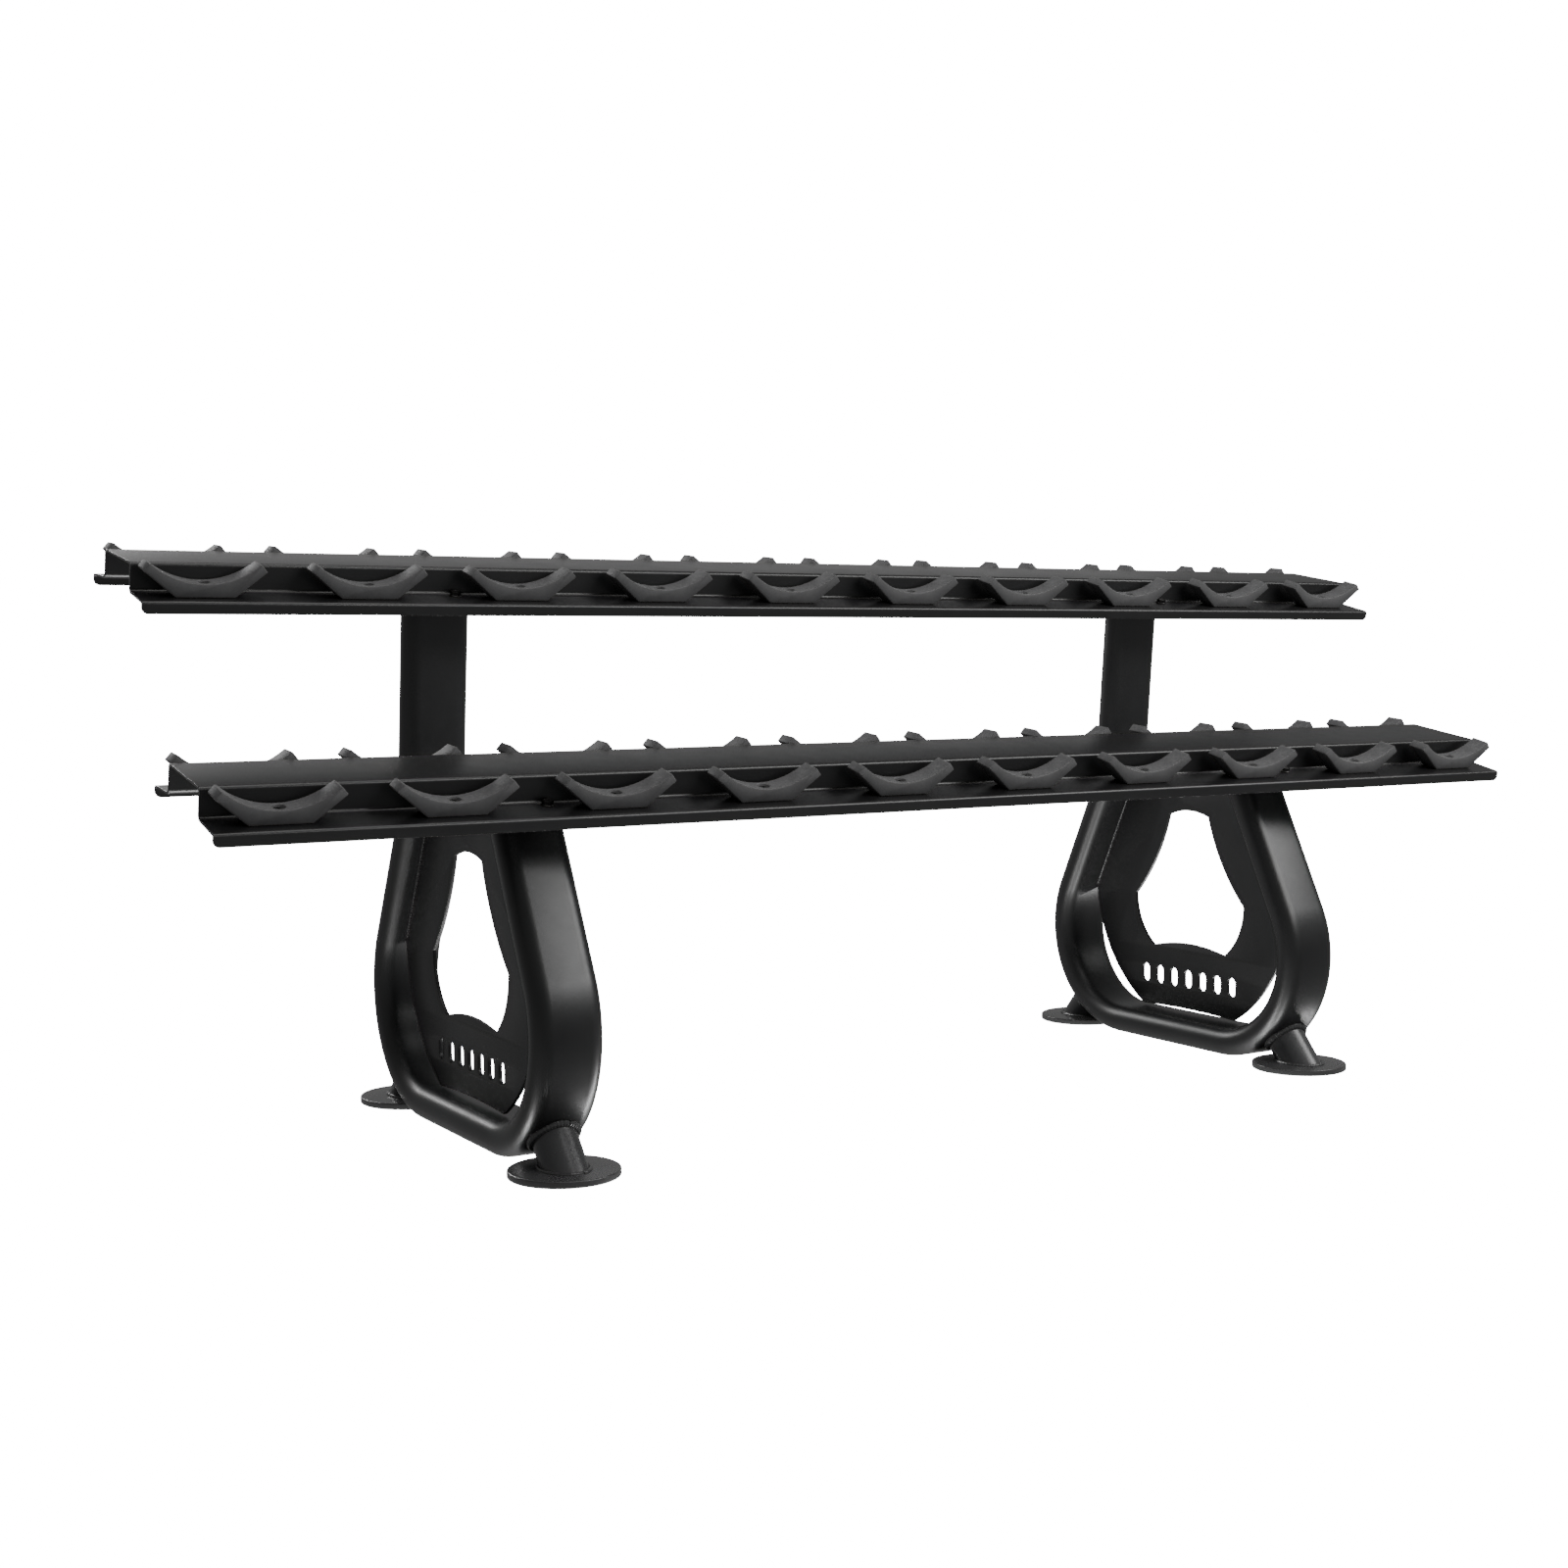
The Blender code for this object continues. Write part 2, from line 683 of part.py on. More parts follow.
def bolt_cutter_mesh():
    depth = TIER_SHEET + BRACKET_THICKNESS + CUT_PAST

    def build(bm):
        for side in (-1, 1):
            add_hole(bm, BOLT_HOLE_RADIUS, depth, flange_frame(side, BOLT_OFFSET))

    return mesh_from("bolt_holes", build)


# ---- Assembly ----------------------------------------------------------------------

def build_uprights(steel, plate_steel, foot_steel, bracket_steel):
    tube = upright_mesh()
    clearance = upright_clearance_mesh()
    disc = disc_mesh()
    foot_meshes = {side: foot_tube_mesh(side) for side in (-1, 1)}
    bracket = bracket_mesh()
    bolts = bolt_cutter_mesh()
    for sign, hand in ((-1, "left"), (1, "right")):
        x = sign * UPRIGHT_X
        placed = Matrix.Translation((x, 0.0, 0.0))
        add_object(f"{hand}_upright_tube", tube, steel, placed)
        build_plate(f"{hand}_gusset_plate", x + sign * PLATE_OUTBOARD, plate_steel)
        coping = add_cutter(f"{hand}_coping", clearance, placed)
        for side, place in ((-1, "front"), (1, "rear")):
            foot = add_object(f"{hand}_{place}_foot_tube", foot_meshes[side], foot_steel, placed)
            cut(foot, coping)
            floor = Matrix.Translation((x, side * DISC_Y, 0.0))
            add_object(f"{hand}_{place}_foot_disc", disc, foot_steel, floor)
        for level, y, z in LEVELS:
            frame = placed @ tier_frame(y, z)
            name = f"{hand}_{level}_bracket"
            plate = add_object(name, bracket, bracket_steel, frame)
            cut(plate, add_cutter(f"{name}_holes", bolts, frame))


def main():
    clear_scene()
    tier_steel = make_material("tier_steel", (0.020, 0.020, 0.021), 0.38, 0.0)
    upright_steel = make_material("upright_steel", (0.020, 0.020, 0.021), 0.40, 0.0)
    plate_steel = make_material("plate_steel", (0.018, 0.018, 0.019), 0.45, 0.0)
    foot_steel = make_material("foot_steel", (0.022, 0.022, 0.023), 0.36, 0.0)
    bracket_steel = make_material("bracket_steel", (0.018, 0.018, 0.019), 0.45, 0.0)
    rubber = make_material("saddle_rubber", (0.045, 0.045, 0.046), 0.65, 0.0)
    build_tiers(tier_steel, rubber)
    build_uprights(upright_steel, plate_steel, foot_steel, bracket_steel)


main()
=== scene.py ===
# %% [markdown]
# # A two-tier dumbbell rack in black powder coat
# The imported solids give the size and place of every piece. This script keeps that frame as it
# is and makes the surfaces a person sees: folded sheet with real fold radii, bent flat-oval tube,
# flat-cut plates with broken edges, moulded rubber saddles, screws, bolts and weld beads.

# %% Load the frame
import math

import bmesh
import bpy
import numpy as np
from mathutils import Matrix, Vector


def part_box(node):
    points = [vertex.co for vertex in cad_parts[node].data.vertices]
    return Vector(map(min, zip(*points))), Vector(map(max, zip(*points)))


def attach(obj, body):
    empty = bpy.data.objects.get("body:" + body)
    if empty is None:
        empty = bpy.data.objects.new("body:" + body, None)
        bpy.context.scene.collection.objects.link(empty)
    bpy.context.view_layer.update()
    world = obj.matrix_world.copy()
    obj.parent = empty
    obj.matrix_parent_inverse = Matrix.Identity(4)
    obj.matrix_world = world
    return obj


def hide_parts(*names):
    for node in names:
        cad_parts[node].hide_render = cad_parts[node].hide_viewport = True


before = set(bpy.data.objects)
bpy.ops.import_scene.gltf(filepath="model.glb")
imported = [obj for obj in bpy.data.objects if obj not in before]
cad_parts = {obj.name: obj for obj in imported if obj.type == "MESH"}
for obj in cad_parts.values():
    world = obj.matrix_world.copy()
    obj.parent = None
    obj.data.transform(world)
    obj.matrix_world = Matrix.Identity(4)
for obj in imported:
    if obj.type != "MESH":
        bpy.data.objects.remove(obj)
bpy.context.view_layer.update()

# %% [markdown]
# ## The sizes that shape the pieces
# Places come from the frame's boxes. A box can't say how a sheet is folded or a tube is bent, so
# the few sizes that do are named here, in metres and radians, as they are in the solid model.

# %% Sizes of the tiers and saddles
TIER_TILT = math.radians(10.0)
TIER_SHEET = 0.003
TIER_TOP_HALF = 0.0716
TIER_WEB = 0.0396
TIER_FLANGE = 0.0660
TIER_DROOP = math.radians(4.0)
TIER_LIP = 0.0173
TIER_FOLD_RADIUS = 0.005
FRAME_FOLD_STEPS = 2
LIP_END_RADIUS = 0.009

SADDLES_PER_ROW = 10
SADDLE_SEAT_RADIUS = 0.118
SADDLE_SEAT_HALF = 0.0765
SADDLE_MID_HEIGHT = 0.019
SADDLE_TIP_THICKNESS = 0.014
SADDLE_BASE_HALF = 0.041
SADDLE_DEPTH = 0.034
BORE_RADIUS = 0.0095
BORE_DEPTH = 0.009
SCREW_RADIUS = 0.003
GAP = 0.0003

# %% Sizes of the uprights, plates and feet
TUBE_DEPTH = 0.049
TUBE_WALL = 0.003
LOOP_CORNER_Y = 0.3985
LOOP_LEAN = math.radians(26.8)
LOOP_BEND_RADIUS = 0.163
KNEE_Z = 0.462
KNEE_RADIUS = 0.147
POST_LEAN = math.radians(5.2)
BRACKET_THICKNESS = 0.006
BRACKET_HALF_SPAN = 0.115
BOLT_OFFSET = 0.012

PLATE_THICKNESS = 0.006
PLATE_TOP_Z = 0.480
PLATE_SHOULDER_DROP = 0.003
PLATE_BOTTOM_Z = 0.0535
PLATE_BOTTOM_HALF = 0.1177
PLATE_BOTTOM_RISE = 0.004
PLATE_SIDE_BULGE = 0.0304
WINDOW_TOP = (0.051, 0.408)
WINDOW_WAIST = (0.141, 0.2565)
WINDOW_FOOT = (0.092, 0.165)
WINDOW_TOP_RISE = 0.009
WINDOW_SIDE_BOW = 0.011
WINDOW_HIP_BULGE = 0.013
WINDOW_FOOT_RISE = 0.011
VENT_COUNT = 7
VENT_PITCH = 0.0375
VENT_WIDTH = 0.020
VENT_HEIGHT = 0.034
VENT_Z = 0.1115
FOOT_TUBE_RADIUS = 0.032

LEVELS = ("lower", "upper")
ROWS = ((-1, "front"), (1, "rear"))
HANDS = ((-1, "left"), (1, "right"))

# %% Places read from the frame
tube_low, tube_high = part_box("right_upright_tube")
disc_low, disc_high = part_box("right_rear_foot_disc")
plate_low, plate_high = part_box("right_gusset_plate")
bracket_low, bracket_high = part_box("right_lower_bracket")
tier_low, tier_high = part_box("lower_tier")
UPRIGHT_X = (tube_low.x + tube_high.x) / 2.0
TUBE_WIDTH = tube_high.x - tube_low.x
LOOP_BOTTOM_Z = tube_low.z + TUBE_DEPTH / 2.0
BEND_END_Z = LOOP_BOTTOM_Z + LOOP_BEND_RADIUS * (1.0 + math.sin(LOOP_LEAN))
PLATE_LEAVES_LEG_Z = BEND_END_Z - PLATE_SHOULDER_DROP
PLATE_X = (plate_low.x + plate_high.x) / 2.0
DISC_Y = (disc_low.y + disc_high.y) / 2.0
DISC_RADIUS = (disc_high.y - disc_low.y) / 2.0
DISC_THICKNESS = disc_high.z - disc_low.z
BRACKET_WIDTH = bracket_high.x - bracket_low.x
TIER_LENGTH = tier_high.x - tier_low.x
print("upright at", round(UPRIGHT_X, 4), "plate at", round(PLATE_X, 4), "disc at", round(DISC_Y, 4))

# %% [markdown]
# ## Finishes
# A finish is a small graph of nodes. Written as sockets and names it soon becomes hard to read, so
# one class wraps a socket and answers to + - * with Math nodes, and one method makes any other
# node from its type, its settings and what goes into its sockets.

# %% A socket that does sums
class Wire:
    """A node's output. Sums on it add Math nodes to the finish that it belongs to."""

    def __init__(self, finish, socket):
        self.finish = finish
        self.socket = socket

    def _sum(self, operation, first, second):
        made = self.finish.make("ShaderNodeMath", {"operation": operation}, {0: first, 1: second})
        return made.out(0)

    def __add__(self, other):
        return self._sum("ADD", self, other)

    def __sub__(self, other):
        return self._sum("SUBTRACT", self, other)

    def __mul__(self, other):
        return self._sum("MULTIPLY", self, other)


class Made:
    """A node just made, whose outputs are asked for by name or number."""

    def __init__(self, finish, node):
        self.finish = finish
        self.node = node

    def out(self, key):
        return Wire(self.finish, self.node.outputs[key])


# %% A finish and its nodes
# a face starts to count as level at the first height of its normal, and is level at the second
LEVEL_FACES = (0.2, 0.9)


class Finish:
    """A material with one Principled shader, and a method that makes any node."""

    def __init__(self, name):
        self.material = bpy.data.materials.new(name)
        self.material.use_nodes = True
        self.tree = self.material.node_tree
        self.shader = self.tree.nodes["Principled BSDF"]

    def make(self, kind, settings=None, sockets=None):
        node = self.tree.nodes.new(kind)
        for key, value in (settings or {}).items():
            setattr(node, key, value)
        for key, value in (sockets or {}).items():
            self.feed(node.inputs[key], value)
        return Made(self, node)

    def feed(self, socket, value):
        if isinstance(value, Wire):
            self.tree.links.new(value.socket, socket)
        else:
            socket.default_value = value

    def noise(self, scale, detail=3.0):
        """A noise of features about one over scale metres across."""
        place = self.make("ShaderNodeTexCoord").out("Object")
        sockets = {"Vector": place, "Scale": scale, "Detail": detail}
        return self.make("ShaderNodeTexNoise", {}, sockets).out(0)

    def ramp(self, wire, low, high):
        """0 below low, 1 above high, smooth between."""
        settings = {"interpolation_type": "SMOOTHSTEP"}
        return self.make("ShaderNodeMapRange", settings, {0: wire, 1: low, 2: high}).out(0)

    def between(self, mask, first, second):
        """First colour where the mask is 0, second where it is 1."""
        sockets = {0: mask, 6: (*first, 1.0), 7: (*second, 1.0)}
        return self.make("ShaderNodeMix", {"data_type": "RGBA"}, sockets).out(2)

    def bump(self, height, depth):
        sockets = {"Strength": 1.0, "Distance": depth, "Height": height}
        return self.make("ShaderNodeBump", {}, sockets).out("Normal")

    def facing_up(self):
        """1 on level faces, 0 on upright and lower ones."""
        normal = self.make("ShaderNodeNewGeometry").out("Normal")
        height = self.make("ShaderNodeSeparateXYZ", {}, {0: normal}).out("Z")
        return self.ramp(height, *LEVEL_FACES)

    def wear(self, **sockets):
        for name, value in sockets.items():
            self.feed(self.shader.inputs[name.replace("_", " ")], value)
        return self.material


# %% [markdown]
# ## Black powder coat
# Powder coat is dry paint melted on in an oven. It flows into a faint orange peel about a
# millimetre across, and has a soft sheen that varies a little over a long piece. A fine dust lies
# on the level faces. One function makes it, and each group of pieces has its own depth and sheen.
# The feet and floor discs get a paler black than the rest, which is painted light for their
# highlights.

# %% Make the powder coats
BLACK_PAINT = (0.0075, 0.0075, 0.0078)
PLATE_PAINT = (0.0065, 0.0065, 0.0068)
# the feet's black is made paler than the rest of the coat: painted light, standing in for their
# highlights
LIT_FOOT_PAINT = (0.040, 0.040, 0.041)
DUSTY = 1.9
PEEL_SCALE = 780.0
SPECK_SCALE = 2600.0


def powder_coat(name, shade, sheen, peel_depth):
    finish = Finish(name)
    cloud = finish.noise(7.0)
    smear = finish.noise(34.0, detail=5.0)
    dust_grain = finish.noise(420.0, detail=2.0)
    dust = finish.facing_up() * finish.ramp(dust_grain, 0.52, 0.74)
    dust = dust * finish.ramp(cloud, 0.35, 0.75)
    light = tuple(part * DUSTY for part in shade)
    peel = finish.noise(PEEL_SCALE, detail=1.5)
    speck = finish.noise(SPECK_SCALE, detail=1.0)
    rough = cloud * 0.09 + smear * 0.07 + dust * 0.12 + (sheen - 0.08)
    height = peel + speck * 0.25
    return finish.wear(
        Base_Color=finish.between(dust * 0.8 + cloud * 0.2, shade, light),
        Roughness=rough,
        Normal=finish.bump(height, peel_depth),
        Specular_IOR_Level=0.5,
    )


tier_coat = powder_coat("tier_powder_coat", BLACK_PAINT, 0.34, 0.00003)
upright_coat = powder_coat("upright_powder_coat", BLACK_PAINT, 0.37, 0.00004)
plate_coat = powder_coat("plate_powder_coat", PLATE_PAINT, 0.42, 0.00004)
# the feet's coat is a paler copy of the black coat, painted light for their highlights
lit_foot_coat = powder_coat("foot_powder_coat_painted_light", LIT_FOOT_PAINT, 0.25, 0.00006)
print("coats:", tier_coat.name, upright_coat.name, plate_coat.name, lit_foot_coat.name)

# %% [markdown]
# ## Moulded rubber and fasteners
# The saddles are matte moulded rubber: dark grey, never quite even, with a grain from the mould,
# and their level seat faces are made paler in patches, a painted highlight for light falling from
# above. The fasteners are black oxide steel, thinner and glossier than paint.

# %% Make the rubber and the black oxide
DARK_RUBBER = (0.070, 0.070, 0.071)
PALE_RUBBER_AND_TOP_LIGHT = (0.135, 0.135, 0.137)
DARK_OXIDE = (0.020, 0.020, 0.021)
BROWN_OXIDE = (0.048, 0.046, 0.044)


def moulded_rubber():
    finish = Finish("saddle_moulded_rubber")
    mottle = finish.noise(55.0, detail=4.0)
    grain = finish.noise(1300.0, detail=2.0)
    # painted light: the seat's level faces are made paler in patches, standing in for light from
    # above
    painted_top_light = finish.ramp(finish.noise(150.0, detail=5.0), 0.45, 0.8) * finish.facing_up()
    return finish.wear(
        Base_Color=finish.between(mottle * 0.6 + painted_top_light * 0.5, DARK_RUBBER, PALE_RUBBER_AND_TOP_LIGHT),
        Roughness=mottle * 0.12 + 0.62 - painted_top_light * 0.06,
        Normal=finish.bump(grain, 0.00012),
        Specular_IOR_Level=0.35,
    )


def black_oxide():
    finish = Finish("fastener_black_oxide")
    cloud = finish.noise(320.0, detail=4.0)
    return finish.wear(
        Base_Color=finish.between(cloud, DARK_OXIDE, BROWN_OXIDE),
        Metallic=0.85,
        Roughness=cloud * 0.2 + 0.26,
        Normal=finish.bump(finish.noise(1500.0), 0.00002),
    )


rubber = moulded_rubber()
oxide = black_oxide()
print("finishes:", rubber.name, oxide.name)

# %% [markdown]
# ## Small tools for mesh work
# Most pieces here are a section carried along something, so the tools are few: a circle, an
# arc between two points, a rounded path, and a skin over rings of points.

# %% Points and arcs
ARC_STEPS = 24


def polar(radius, angle, centre=(0.0, 0.0)):
    return (centre[0] + radius * math.cos(angle), centre[1] + radius * math.sin(angle))


def ring_at(radius, z, sides):
    """A level ring of points. The radius may depend on the angle."""
    points = []
    for i in range(sides):
        angle = 2.0 * math.pi * i / sides
        reach = radius(angle) if callable(radius) else radius
        points.append((*polar(reach, angle), z))
    return points


def bowed(start, end, rise):
    """Arc from start to end, ends included, bulging to the right by rise."""
    ax, ay = start
    bx, by = end
    chord = math.hypot(bx - ax, by - ay)
    radius = (chord * chord / 4.0 + rise * rise) / (2.0 * abs(rise))
    side = math.copysign(1.0, rise)
    nx, ny = (by - ay) / chord * side, -(bx - ax) / chord * side
    inset = radius - abs(rise)
    centre = ((ax + bx) / 2.0 - nx * inset, (ay + by) / 2.0 - ny * inset)
    half = math.asin(min(1.0, chord / (2.0 * radius)))
    middle = math.atan2(ny, nx)
    turns = [side * half * (2.0 * i / ARC_STEPS - 1.0) for i in range(ARC_STEPS + 1)]
    return [polar(radius, middle + turn, centre) for turn in turns]


def rounded_path(corners, radii, steps):
    """Line through 2-D corners, each inner corner rounded to its radius."""
    path = [Vector(corners[0])]
    for here, radius, count in zip(range(1, len(corners) - 1), radii, steps):
        corner = Vector(corners[here])
        back = (Vector(corners[here - 1]) - corner).normalized()
        ahead = (Vector(corners[here + 1]) - corner).normalized()
        half = back.angle(ahead) / 2.0
        centre = corner + (back + ahead).normalized() * radius / math.sin(half)
        start = corner + back * radius / math.tan(half) - centre
        turn = start.angle_signed(corner + ahead * radius / math.tan(half) - centre)
        for i in range(count + 1):
            path.append(centre + Matrix.Rotation(-turn * i / count, 2) @ start)
    path.append(Vector(corners[-1]))
    return path


# %% Skins and finished pieces
SHARP_ANGLE = math.radians(32.0)
CUT_EDGE = 0.0006
BRACKET_EDGE = 0.001
MOULD_EDGE = 0.0018


def skin(bm, rings, closed=False):
    """Faces over rings of points. Closed joins the last ring to the first."""
    loops = [[bm.verts.new(point) for point in ring] for ring in rings]
    pairs = list(zip(loops, loops[1:]))
    if closed:
        pairs.append((loops[-1], loops[0]))
    for low, high in pairs:
        for i in range(len(low)):
            j = (i + 1) % len(low)
            bm.faces.new((low[i], low[j], high[j], high[i]))
    if not closed:
        bm.faces.new(list(reversed(loops[0])))
        bm.faces.new(loops[-1])


def mesh_from(name, build):
    bm = bmesh.new()
    build(bm)
    bmesh.ops.recalc_face_normals(bm, faces=bm.faces)
    mesh = bpy.data.meshes.new(name)
    bm.to_mesh(mesh)
    bm.free()
    mesh.shade_smooth()
    mesh.set_sharp_from_angle(angle=SHARP_ANGLE)
    return mesh


def place(name, mesh, matrix, material, slot, stands_for=()):
    """Puts a piece in the scene, riding on the frame."""
    piece = bpy.data.objects.new(name, mesh)
    bpy.context.scene.collection.objects.link(piece)
    if not mesh.materials:
        mesh.materials.append(material)
    piece.matrix_world = matrix
    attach(piece, "root")
    if stands_for:
        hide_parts(*stands_for)
    return piece


def break_edges(piece, width, segments=2, angle=math.radians(40.0)):
    """A bevel on a piece's sharp edges, as paint or a mould leaves them."""
    bevel = piece.modifiers.new("broken_edges", "BEVEL")
    bevel.width = width
    bevel.segments = segments
    bevel.limit_method = "ANGLE"
    bevel.angle_limit = angle
    bevel.harden_normals = True


def baked(piece):
    """Applies a piece's modifiers, so that copies can share the finished mesh."""
    bpy.context.view_layer.update()
    graph = bpy.context.evaluated_depsgraph_get()
    mesh = bpy.data.meshes.new_from_object(piece.evaluated_get(graph))
    bpy.data.objects.remove(piece)
    return mesh


# %% [markdown]
# ## Tiers
# A tier is one sheet with six folds. The fold lines catch the light as thin bright edges, so the
# radius at each fold matters more than anything else here. The sheet is drawn as a line, carried
# along the length, and Solidify gives it its thickness. The lips' lower corners are rounded off at
# both ends, which is done by raising the lip's edge near each end along a quarter circle.

# %% A tier's section
FLANGE_EDGE = TIER_TOP_HALF + TIER_FLANGE
FLANGE_DROP = TIER_WEB + TIER_FLANGE * math.tan(TIER_DROOP)


def tier_profile(fold_steps):
    half = [
        (FLANGE_EDGE, -FLANGE_DROP - TIER_LIP),
        (FLANGE_EDGE, -FLANGE_DROP),
        (TIER_TOP_HALF, -TIER_WEB),
        (TIER_TOP_HALF, 0.0),
    ]
    corners = [(-y, z) for y, z in half] + list(reversed(half))
    folds = len(corners) - 2
    return rounded_path(corners, [TIER_FOLD_RADIUS] * folds, [fold_steps] * folds)


def tier_frame(level):
    """Where a tier's top plate is, from its node's box and its own section."""
    low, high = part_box(f"{level}_tier")
    turn = Matrix.Rotation(TIER_TILT, 4, "X")
    points = [turn @ Vector((0.0, y, z)) for y, z in tier_profile(FRAME_FOLD_STEPS)]
    y = low.y - min(point.y for point in points)
    z = high.z - max(point.z for point in points)
    return Matrix.Translation((0.0, y, z)) @ turn


TIER_FRAMES = {level: tier_frame(level) for level in LEVELS}
for level in LEVELS:
    print(level, "tier at", [round(v, 4) for v in TIER_FRAMES[level].translation])


# %% Fold and place the tiers
FOLD_STEPS = 6
LIP_END_STEPS = 6
TIER_SPANS = 40


def tier_mesh():
    profile = tier_profile(FOLD_STEPS)
    turns = [math.pi / 2.0 * i / LIP_END_STEPS for i in range(LIP_END_STEPS + 1)]
    end_steps = [LIP_END_RADIUS * (1.0 - math.cos(turn)) for turn in turns]
    spread = [TIER_LENGTH * (i / TIER_SPANS - 0.5) for i in range(1, TIER_SPANS)]
    left = [-TIER_LENGTH / 2.0 + step for step in end_steps]
    stations = left + spread + [-x for x in reversed(left)]
    lip_ends = (0, len(profile) - 1)

    def build(bm):
        rows = []
        for x in stations:
            inside = TIER_LENGTH / 2.0 - abs(x)
            short = max(0.0, LIP_END_RADIUS - inside)
            lift = LIP_END_RADIUS - math.sqrt(LIP_END_RADIUS ** 2 - short ** 2)
            row = []
            for i, (y, z) in enumerate(profile):
                row.append(bm.verts.new((x, y, z + (lift if i in lip_ends else 0.0))))
            rows.append(row)
        for near, far in zip(rows, rows[1:]):
            for i in range(len(profile) - 1):
                bm.faces.new((near[i], far[i], far[i + 1], near[i + 1]))

    mesh = mesh_from("tier_sheet", build)
    if mesh.polygons[len(mesh.polygons) // 2].normal.z < 0.0:
        mesh.flip_normals()
    return mesh


def make_tiers():
    sheet = tier_mesh()
    for level in LEVELS:
        at = TIER_FRAMES[level]
        tier = place(f"{level}_tier_sheet", sheet, at, tier_coat, "tier_steel", [f"{level}_tier"])
        shell = tier.modifiers.new("sheet", "SOLIDIFY")
        shell.thickness = TIER_SHEET
        shell.offset = -1.0
        shell.use_even_offset = True
        break_edges(tier, CUT_EDGE)


make_tiers()
print("tiers folded")

# %% [markdown]
# ## Saddles
# A saddle is a thick arc of moulded rubber. Its outline is the same all the way through, so it is a
# prism, with every edge rounded as a mould rounds it, and a bore for the screw's head. The bore
# is cut after the rounding, so its rim stays crisp, as it is on the real one. All
# forty are the same, so the finished mesh is made once and shared.

# %% Mould one saddle
SEAT_HALF_ANGLE = math.asin(SADDLE_SEAT_HALF / SADDLE_SEAT_RADIUS)
SEAT_CENTRE = (0.0, SADDLE_MID_HEIGHT + SADDLE_SEAT_RADIUS)
SADDLE_TALL = SEAT_CENTRE[1] - SADDLE_SEAT_RADIUS * math.cos(SEAT_HALF_ANGLE)
SEAT_STEPS = 32
SCREW_CLEARANCE = 0.001
BORE_RIM = 0.0008
BORE_SIDES = 40
DRILL_FROM = -0.01
DRILL_TO = 0.04


def saddle_outline():
    down = -math.pi / 2.0
    seat = []
    for i in range(SEAT_STEPS + 1):
        angle = down + SEAT_HALF_ANGLE * (2.0 * i / SEAT_STEPS - 1.0)
        seat.append(polar(SADDLE_SEAT_RADIUS, angle, SEAT_CENTRE))
    tip = SADDLE_SEAT_RADIUS + SADDLE_TIP_THICKNESS
    right = polar(tip, down + SEAT_HALF_ANGLE, SEAT_CENTRE)
    left = polar(tip, down - SEAT_HALF_ANGLE, SEAT_CENTRE)
    return seat + [right, (SADDLE_BASE_HALF, 0.0), (-SADDLE_BASE_HALF, 0.0), left]


def saddle_bore(bm):
    shelf = SADDLE_MID_HEIGHT - BORE_DEPTH
    seat = SADDLE_MID_HEIGHT + BORE_RADIUS ** 2 / (2.0 * SADDLE_SEAT_RADIUS)
    narrow = SCREW_RADIUS + SCREW_CLEARANCE
    wide = BORE_RADIUS + 2.0 * BORE_RIM
    steps = (
        (narrow, DRILL_FROM),
        (narrow, shelf),
        (BORE_RADIUS, shelf),
        (BORE_RADIUS, seat - BORE_RIM),
        (wide, seat + BORE_RIM),
        (wide, DRILL_TO),
    )
    skin(bm, [ring_at(radius, z, BORE_SIDES) for radius, z in steps])


def saddle_mesh():
    outline = saddle_outline()

    def build(bm):
        faces = (-SADDLE_DEPTH / 2.0, SADDLE_DEPTH / 2.0)
        skin(bm, [[(x, y, z) for x, z in outline] for y in faces])

    block = bpy.data.objects.new("saddle_block", mesh_from("saddle_block", build))
    bpy.context.scene.collection.objects.link(block)
    break_edges(block, MOULD_EDGE, segments=4, angle=math.radians(25.0))
    cutter = bpy.data.objects.new("saddle_bore", mesh_from("saddle_bore", saddle_bore))
    bpy.context.scene.collection.objects.link(cutter)
    drill = block.modifiers.new("bore", "BOOLEAN")
    drill.object = cutter
    mesh = baked(block)
    bpy.data.objects.remove(cutter)
    mesh.name = "saddle_rubber"
    mesh.materials.clear()
    mesh.materials.append(rubber)
    mesh.shade_smooth()
    mesh.set_sharp_from_angle(angle=SHARP_ANGLE)
    return mesh


# %% [markdown]
# ## Screws and nuts
# Fasteners are turned shapes with a hexagon in them. A hexagon is a ring whose radius depends on
# the angle, so heads, sockets and nuts are all skins over rings with the same number of points.

# %% Sizes of the fasteners
SCREW_LENGTH = 0.022
SCREW_HEAD_RADIUS = 0.0074
SCREW_HEAD_HEIGHT = 0.0070
SCREW_SOCKET = 0.005
SCREW_TURN = 0.7
BOLT_RADIUS = 0.005
BOLT_LENGTH = 0.026
BOLT_FLANGE_RADIUS = 0.0089
BOLT_FLATS = 0.0142
BOLT_CROWN_FLATS = 0.0132
SADDLE_NUT = (0.010, 0.005)
FLANGE_NUT = (0.016, 0.008)
PIP = 0.0008
FASTENER_SIDES = 48


# %% Turn a screw, a bolt and a nut
def hexagon(across_flats):
    """A ring's radius at each angle, for a hexagon of that size across its flats."""
    sixth = math.pi / 3.0
    return lambda angle: across_flats / 2.0 / math.cos((angle + sixth / 2.0) % sixth - sixth / 2.0)


def turned(name, steps, sides=FASTENER_SIDES):
    return mesh_from(name, lambda bm: skin(bm, [ring_at(radius, z, sides) for radius, z in steps]))


